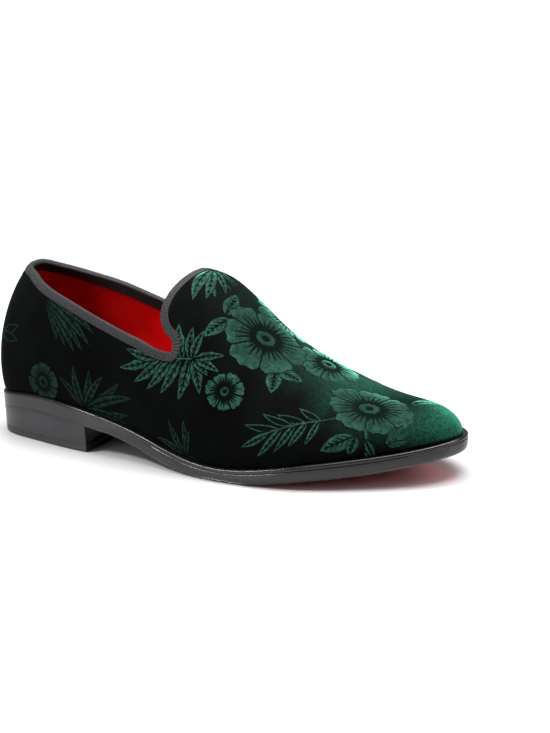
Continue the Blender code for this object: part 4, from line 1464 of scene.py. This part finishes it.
def grosgrain_look():
    """Rayon grosgrain: hard twisted ribs with a dull silk gleam, charcoal black."""
    look, tree, shader, place = new_look(
        "woven_grosgrain_ribbon", Roughness=0.6, Sheen_Weight=0.06, Sheen_Roughness=0.5,
        Specular_IOR_Level=0.22)
    # Threads are 0.3 mm apart; 0.9 mm is as fine as the picture can show.
    thread = add(tree, NOISE, {"Vector": place, "Scale": PER_MM / 0.9, "Detail": 3.0, "Roughness": 0.7})
    thread = add(tree, SPAN, {0: thread, 1: 0.36, 2: 0.64}, **EASED)
    wear = add(tree, NOISE, {"Vector": place, "Scale": PER_MM / 14.0})
    wear = add(tree, SPAN, {0: wear, 1: 0.4, 2: 0.7, 3: 0.0, 4: 0.35}, **EASED)
    base = add(tree, MIX, {0: thread, TINT_A: colour("#050506"), TINT_B: colour("#28262A")}, **COLOURS)
    base = add(tree, MIX, {0: wear, TINT_A: base, TINT_B: colour("#252428")}, **COLOURS)
    # Painted shade darkens the inside leaf and the inner half of the fold.
    inside = add(tree, "ShaderNodeAttribute", attribute_name="inside").outputs["Fac"]
    shade = add(tree, MATH, {0: inside, 1: 0.70}, operation="MULTIPLY")
    base = add(tree, MIX, {0: shade, TINT_A: base, TINT_B: colour("#070A09")}, **COLOURS)
    rough = add(tree, SPAN, {0: thread, 1: 0.2, 2: 0.8, 3: 0.56, 4: 0.74}, **EASED)
    relief = add(tree, "ShaderNodeBump", {"Height": thread, "Distance": 0.14 * MM, "Strength": 0.6})
    feed(tree, shader, {"Base Color": base, "Roughness": rough, "Normal": relief})
    return look


def red_leather_look(name, dark, light, shine, smooth, dull):
    """Drum dyed, plated lining leather: smooth, saturated, faint pores.

    Painted shade darkens the heel end, deep in the shoe; the front stays bright.
    """
    look, tree, shader, place = new_look(name, Specular_IOR_Level=shine)
    # Pores are 0.3 mm apart; 1.1 mm is as fine as the picture can show.
    pores = add(tree, "ShaderNodeTexVoronoi", {"Vector": place, "Scale": PER_MM / 1.1})
    cloud = add(tree, NOISE, {"Vector": place, "Scale": PER_MM / 18.0, "Detail": 3.0})
    along = add(tree, "ShaderNodeSeparateXYZ", {0: place})
    # Painted shade: the heel end, deep in the shoe, is darkened; the front stays bright.
    painted_light_along_length = add(tree, SPAN, {0: along, 1: -0.09, 2: 0.005}, **EASED)
    shade = add(tree, SPAN, {0: cloud, 1: 0.3, 2: 0.7}, **EASED)
    base = add(tree, MIX, {0: shade, TINT_A: colour(dark), TINT_B: colour(light)}, **COLOURS)
    wear_and_painted_shade = add(tree, MIX, {0: 0.62, TINT_A: base, TINT_B: colour("#3A0103")}, **COLOURS)
    base = add(tree, MIX, {0: painted_light_along_length, TINT_A: wear_and_painted_shade, TINT_B: base}, **COLOURS)
    rough = add(tree, SPAN, {0: cloud, 1: 0.2, 2: 0.8, 3: smooth, 4: dull}, **EASED)
    relief = add(tree, "ShaderNodeBump", {"Height": pores, "Distance": 0.08 * MM, "Strength": 0.35})
    feed(tree, shader, {"Base Color": base, "Roughness": rough, "Normal": relief})
    return look


def layered_leather_look(name, layer, flatten, dark, light, smooth, dull, **values):
    """Leather edge trimmed, inked black and waxed: satin, level lines show faintly."""
    look, tree, shader, place = new_look(name, **values)
    stretched = add(tree, "ShaderNodeMapping", {"Vector": place, "Scale": (flatten, flatten, 1.0)})
    lines = add(tree, NOISE, {"Vector": stretched, "Scale": PER_MM / layer, "Detail": 3.0})
    smear = add(tree, NOISE, {"Vector": place, "Scale": PER_MM / 10.0})
    base = add(tree, MIX, {0: lines, TINT_A: colour(dark), TINT_B: colour(light)}, **COLOURS)
    rough = add(tree, SPAN, {0: smear, 1: 0.3, 2: 0.7, 3: smooth, 4: dull}, **EASED)
    relief = add(tree, "ShaderNodeBump", {"Height": lines, "Distance": 0.12 * MM, "Strength": 0.12})
    feed(tree, shader, {"Base Color": base, "Roughness": rough, "Normal": relief})
    return look


def rubber_look():
    """Moulded rubber top lift: matt black, slightly rough from the mould."""
    look, tree, shader, place = new_look("moulded_rubber_lift", Roughness=0.45)
    grain = add(tree, NOISE, {"Vector": place, "Scale": PER_MM / 0.8})
    base = add(tree, MIX, {0: grain, TINT_A: colour("#111113"), TINT_B: colour("#1F1F22")}, **COLOURS)
    relief = add(tree, "ShaderNodeBump", {"Height": grain, "Distance": 0.10 * MM, "Strength": 0.6})
    feed(tree, shader, {"Base Color": base, "Normal": relief})
    return look


def red_bottom_look():
    """Painted sole bottom: scuffed red lacquer, painted shade near black in the waist and behind it, a
    fine slanted tread.
    """
    look, tree, shader, place = new_look("painted_sole_bottom", Roughness=0.45)
    scuff = add(tree, NOISE, {"Vector": place, "Scale": PER_MM / 7.0, "Detail": 4.0, "Roughness": 0.65})
    scuff = add(tree, SPAN, {0: scuff, 1: 0.35, 2: 0.75}, **EASED)
    # On a level face the diagonal wave repeats after this many units; its grooves are 3.35 mm apart.
    wave = math.pi / 5 / math.sqrt(2)
    tread = add(tree, "ShaderNodeTexWave", {"Vector": place, "Scale": PER_MM * wave / 3.35},
                bands_direction="DIAGONAL").outputs["Fac"]
    base = add(tree, MIX, {0: scuff, TINT_A: colour("#B01C22"), TINT_B: colour("#8C161C")}, **COLOURS)
    along = add(tree, "ShaderNodeSeparateXYZ", {0: place})
    # Painted shade: the underside turns near black in the waist and back from it.
    painted_waist_shade = add(tree, SPAN, {0: along, 1: 0.0, 2: 0.05, 3: 0.92, 4: 0.0}, **EASED)
    base = add(tree, MIX, {0: painted_waist_shade, TINT_A: base, TINT_B: colour("#160809")}, **COLOURS)
    relief = add(tree, "ShaderNodeBump", {"Height": tread, "Distance": 0.25 * MM, "Strength": 0.5})
    feed(tree, shader, {"Base Color": base, "Normal": relief})
    return look


def floor_look():
    """Smooth white sweep under the shoe with a faint mirror; far off it runs into the white room."""
    look, tree, shader, place = new_look(
        "white_studio_sweep", Roughness=0.25, Coat_Weight=1.0, Coat_IOR=1.95, Coat_Roughness=0.07,
        Emission_Color=colour("#FFFFFF"))
    cloud = add(tree, NOISE, {"Vector": place, "Scale": PER_MM / 400.0, "Detail": 1.0})
    base = add(tree, MIX, {0: cloud, TINT_A: colour("#C8C8C8"), TINT_B: colour("#CECECE")}, **COLOURS)
    apart = add(tree, "ShaderNodeVectorMath", {0: place}, operation="LENGTH")
    seen = add(tree, "ShaderNodeLightPath").outputs["Is Camera Ray"]
    far = add(tree, SPAN, {0: apart, 1: 0.40, 2: 1.20, 3: 0.0, 4: 4.0}, **EASED)
    white = add(tree, MATH, {0: far, 1: seen}, operation="MULTIPLY")
    feed(tree, shader, {"Base Color": base, "Emission Strength": white})
    return look


# Stage.
FLOOR_REACH = 6.0         # from the shoe to the floor's edges
ROOM_LIGHT = 0.19         # how strongly the white room lights the shoe
SHOE = (0.0, 0.0, 0.04)    # what the lights aim at
THROAT = (-0.03, 0.02, 0.05)

# Soft boxes: name, place, target, width and height, watts.
LIGHTS = [
    ("top_box", (0.12, 0.34, 1.45), SHOE, (1.5, 1.1), 78.0),
    ("front_fill", (-0.7, -1.2, 0.45), SHOE, (0.9, 0.7), 5.5),
    ("toe_rim", (1.1, 0.25, 0.75), SHOE, (0.5, 0.8), 5.5),
    ("throat_light", (-0.42, -0.30, 0.62), THROAT, (0.20, 0.20), 6.0),
]


def build_floor(look):
    """Large plain floor."""
    mesh = bpy.data.meshes.new("floor")
    corners = [(x * FLOOR_REACH, y * FLOOR_REACH, 0) for x, y in ((-1, -1), (1, -1), (1, 1), (-1, 1))]
    mesh.from_pydata(corners, [], [(0, 1, 2, 3)])
    thing = bpy.data.objects.new("floor", mesh)
    bpy.context.scene.collection.objects.link(thing)
    mesh.materials.append(look)
    return thing


def area_light(name, place, target, size, power):
    """White soft box at a place, aimed at a target."""
    data = bpy.data.lights.new(name, "AREA")
    data.shape = "RECTANGLE"
    data.size, data.size_y = size
    data.energy = power
    thing = bpy.data.objects.new(name, data)
    thing.location = place
    aim = Vector(target) - Vector(place)
    thing.rotation_euler = aim.to_track_quat("-Z", "Y").to_euler()
    bpy.context.scene.collection.objects.link(thing)


def build_lights():
    """White room with its soft boxes; the camera sees the room at full white."""
    world = bpy.data.worlds.new("room")
    bpy.context.scene.world = world
    world.use_nodes = True
    tree = world.node_tree
    back = tree.nodes["Background"]
    feed(tree, back, {"Color": colour("#FFFFFF")})
    seen = add(tree, "ShaderNodeLightPath").outputs["Is Camera Ray"]
    feed(tree, back, {"Strength": add(tree, SPAN, {0: seen, 3: ROOM_LIGHT, 4: 1.0})})
    for row in LIGHTS:
        area_light(*row)


# The camera found from the photo: degrees, metres and pixels.
AZIMUTH, ELEVATION, ROLL = 34.0716, 16.9053, -3.6643
DISTANCE = 1.559
PIXELS_PER_METRE = 1802.296
CENTRE_PIXEL = (224.8676, 379.9763)
PHOTO_SIZE = (550, 733)
TARGET = (0.1525, 0.0, 0.04)    # what the camera looks at, in the last's own frame
SENSOR = 36.0             # mm
FAR_CLIP = 50.0


def build_camera():
    """Camera at the photo's place, turn and crop."""
    a, e, r = (math.radians(v) for v in (AZIMUTH, ELEVATION, ROLL))
    back = Vector((math.sin(a) * math.cos(e), -math.cos(a) * math.cos(e), math.sin(e)))
    right = Vector((math.cos(a), math.sin(a), 0.0))
    up = back.cross(right)
    turned = right * math.cos(r) + up * math.sin(r)
    upright = up * math.cos(r) - right * math.sin(r)
    data = bpy.data.cameras.new("camera")
    data.sensor_fit = "AUTO"
    data.sensor_width = SENSOR
    long_side = max(PHOTO_SIZE)
    data.lens = SENSOR * PIXELS_PER_METRE * DISTANCE / long_side
    data.shift_x = (PHOTO_SIZE[0] / 2 - CENTRE_PIXEL[0]) / long_side
    data.shift_y = (CENTRE_PIXEL[1] - PHOTO_SIZE[1] / 2) / long_side
    data.clip_end = FAR_CLIP
    camera = bpy.data.objects.new("camera", data)
    place = Vector(TARGET) + Vector(SHIFT) + back * DISTANCE
    axes = Matrix((turned, upright, back)).transposed().to_4x4()
    camera.matrix_world = Matrix.Translation(place) @ axes
    bpy.context.scene.collection.objects.link(camera)
    bpy.context.scene.camera = camera


def seat(thing, node):
    """Fix a piece to the shoe in place of its CAD node."""
    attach(thing, "root")
    if node:
        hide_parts(node)


def main():
    """Build the shoe, its looks, the light and the camera."""
    edge = layered_leather_look("inked_waxed_sole_edge", 1.2, 0.12, "#0B0A0C", "#161518", 0.22, 0.34,
                                Specular_IOR_Level=0.30, Coat_Weight=0.12, Coat_Roughness=0.14)
    stack = layered_leather_look("burnished_heel_stack", 1.2, 0.06, "#0F0E12", "#1F1E24", 0.26, 0.40,
                                 Specular_IOR_Level=0.32, Coat_Weight=0.12, Coat_Roughness=0.18)
    lining = red_leather_look("red_lining_leather", "#DC0002", "#F40204", 0.15, 0.46, 0.60)
    footbed = red_leather_look("red_insole_leather", "#A80307", "#C00509", 0.16, 0.60, 0.75)
    for piece in build_velvet(velvet_look()):
        seat(piece, "upper")
    seat(build_lining(lining), None)
    seat(build_binding(grosgrain_look()), "binding")
    seat(build_outsole(edge, red_bottom_look()), "outsole")
    seat(build_heel_block(stack), "heel_block")
    seat(build_top_lift(rubber_look()), "top_lift")
    seat(build_insole(footbed), "insole")
    floor = build_floor(floor_look())
    build_lights()
    build_camera()
    bpy.context.scene.view_settings.view_transform = "Standard"


main()
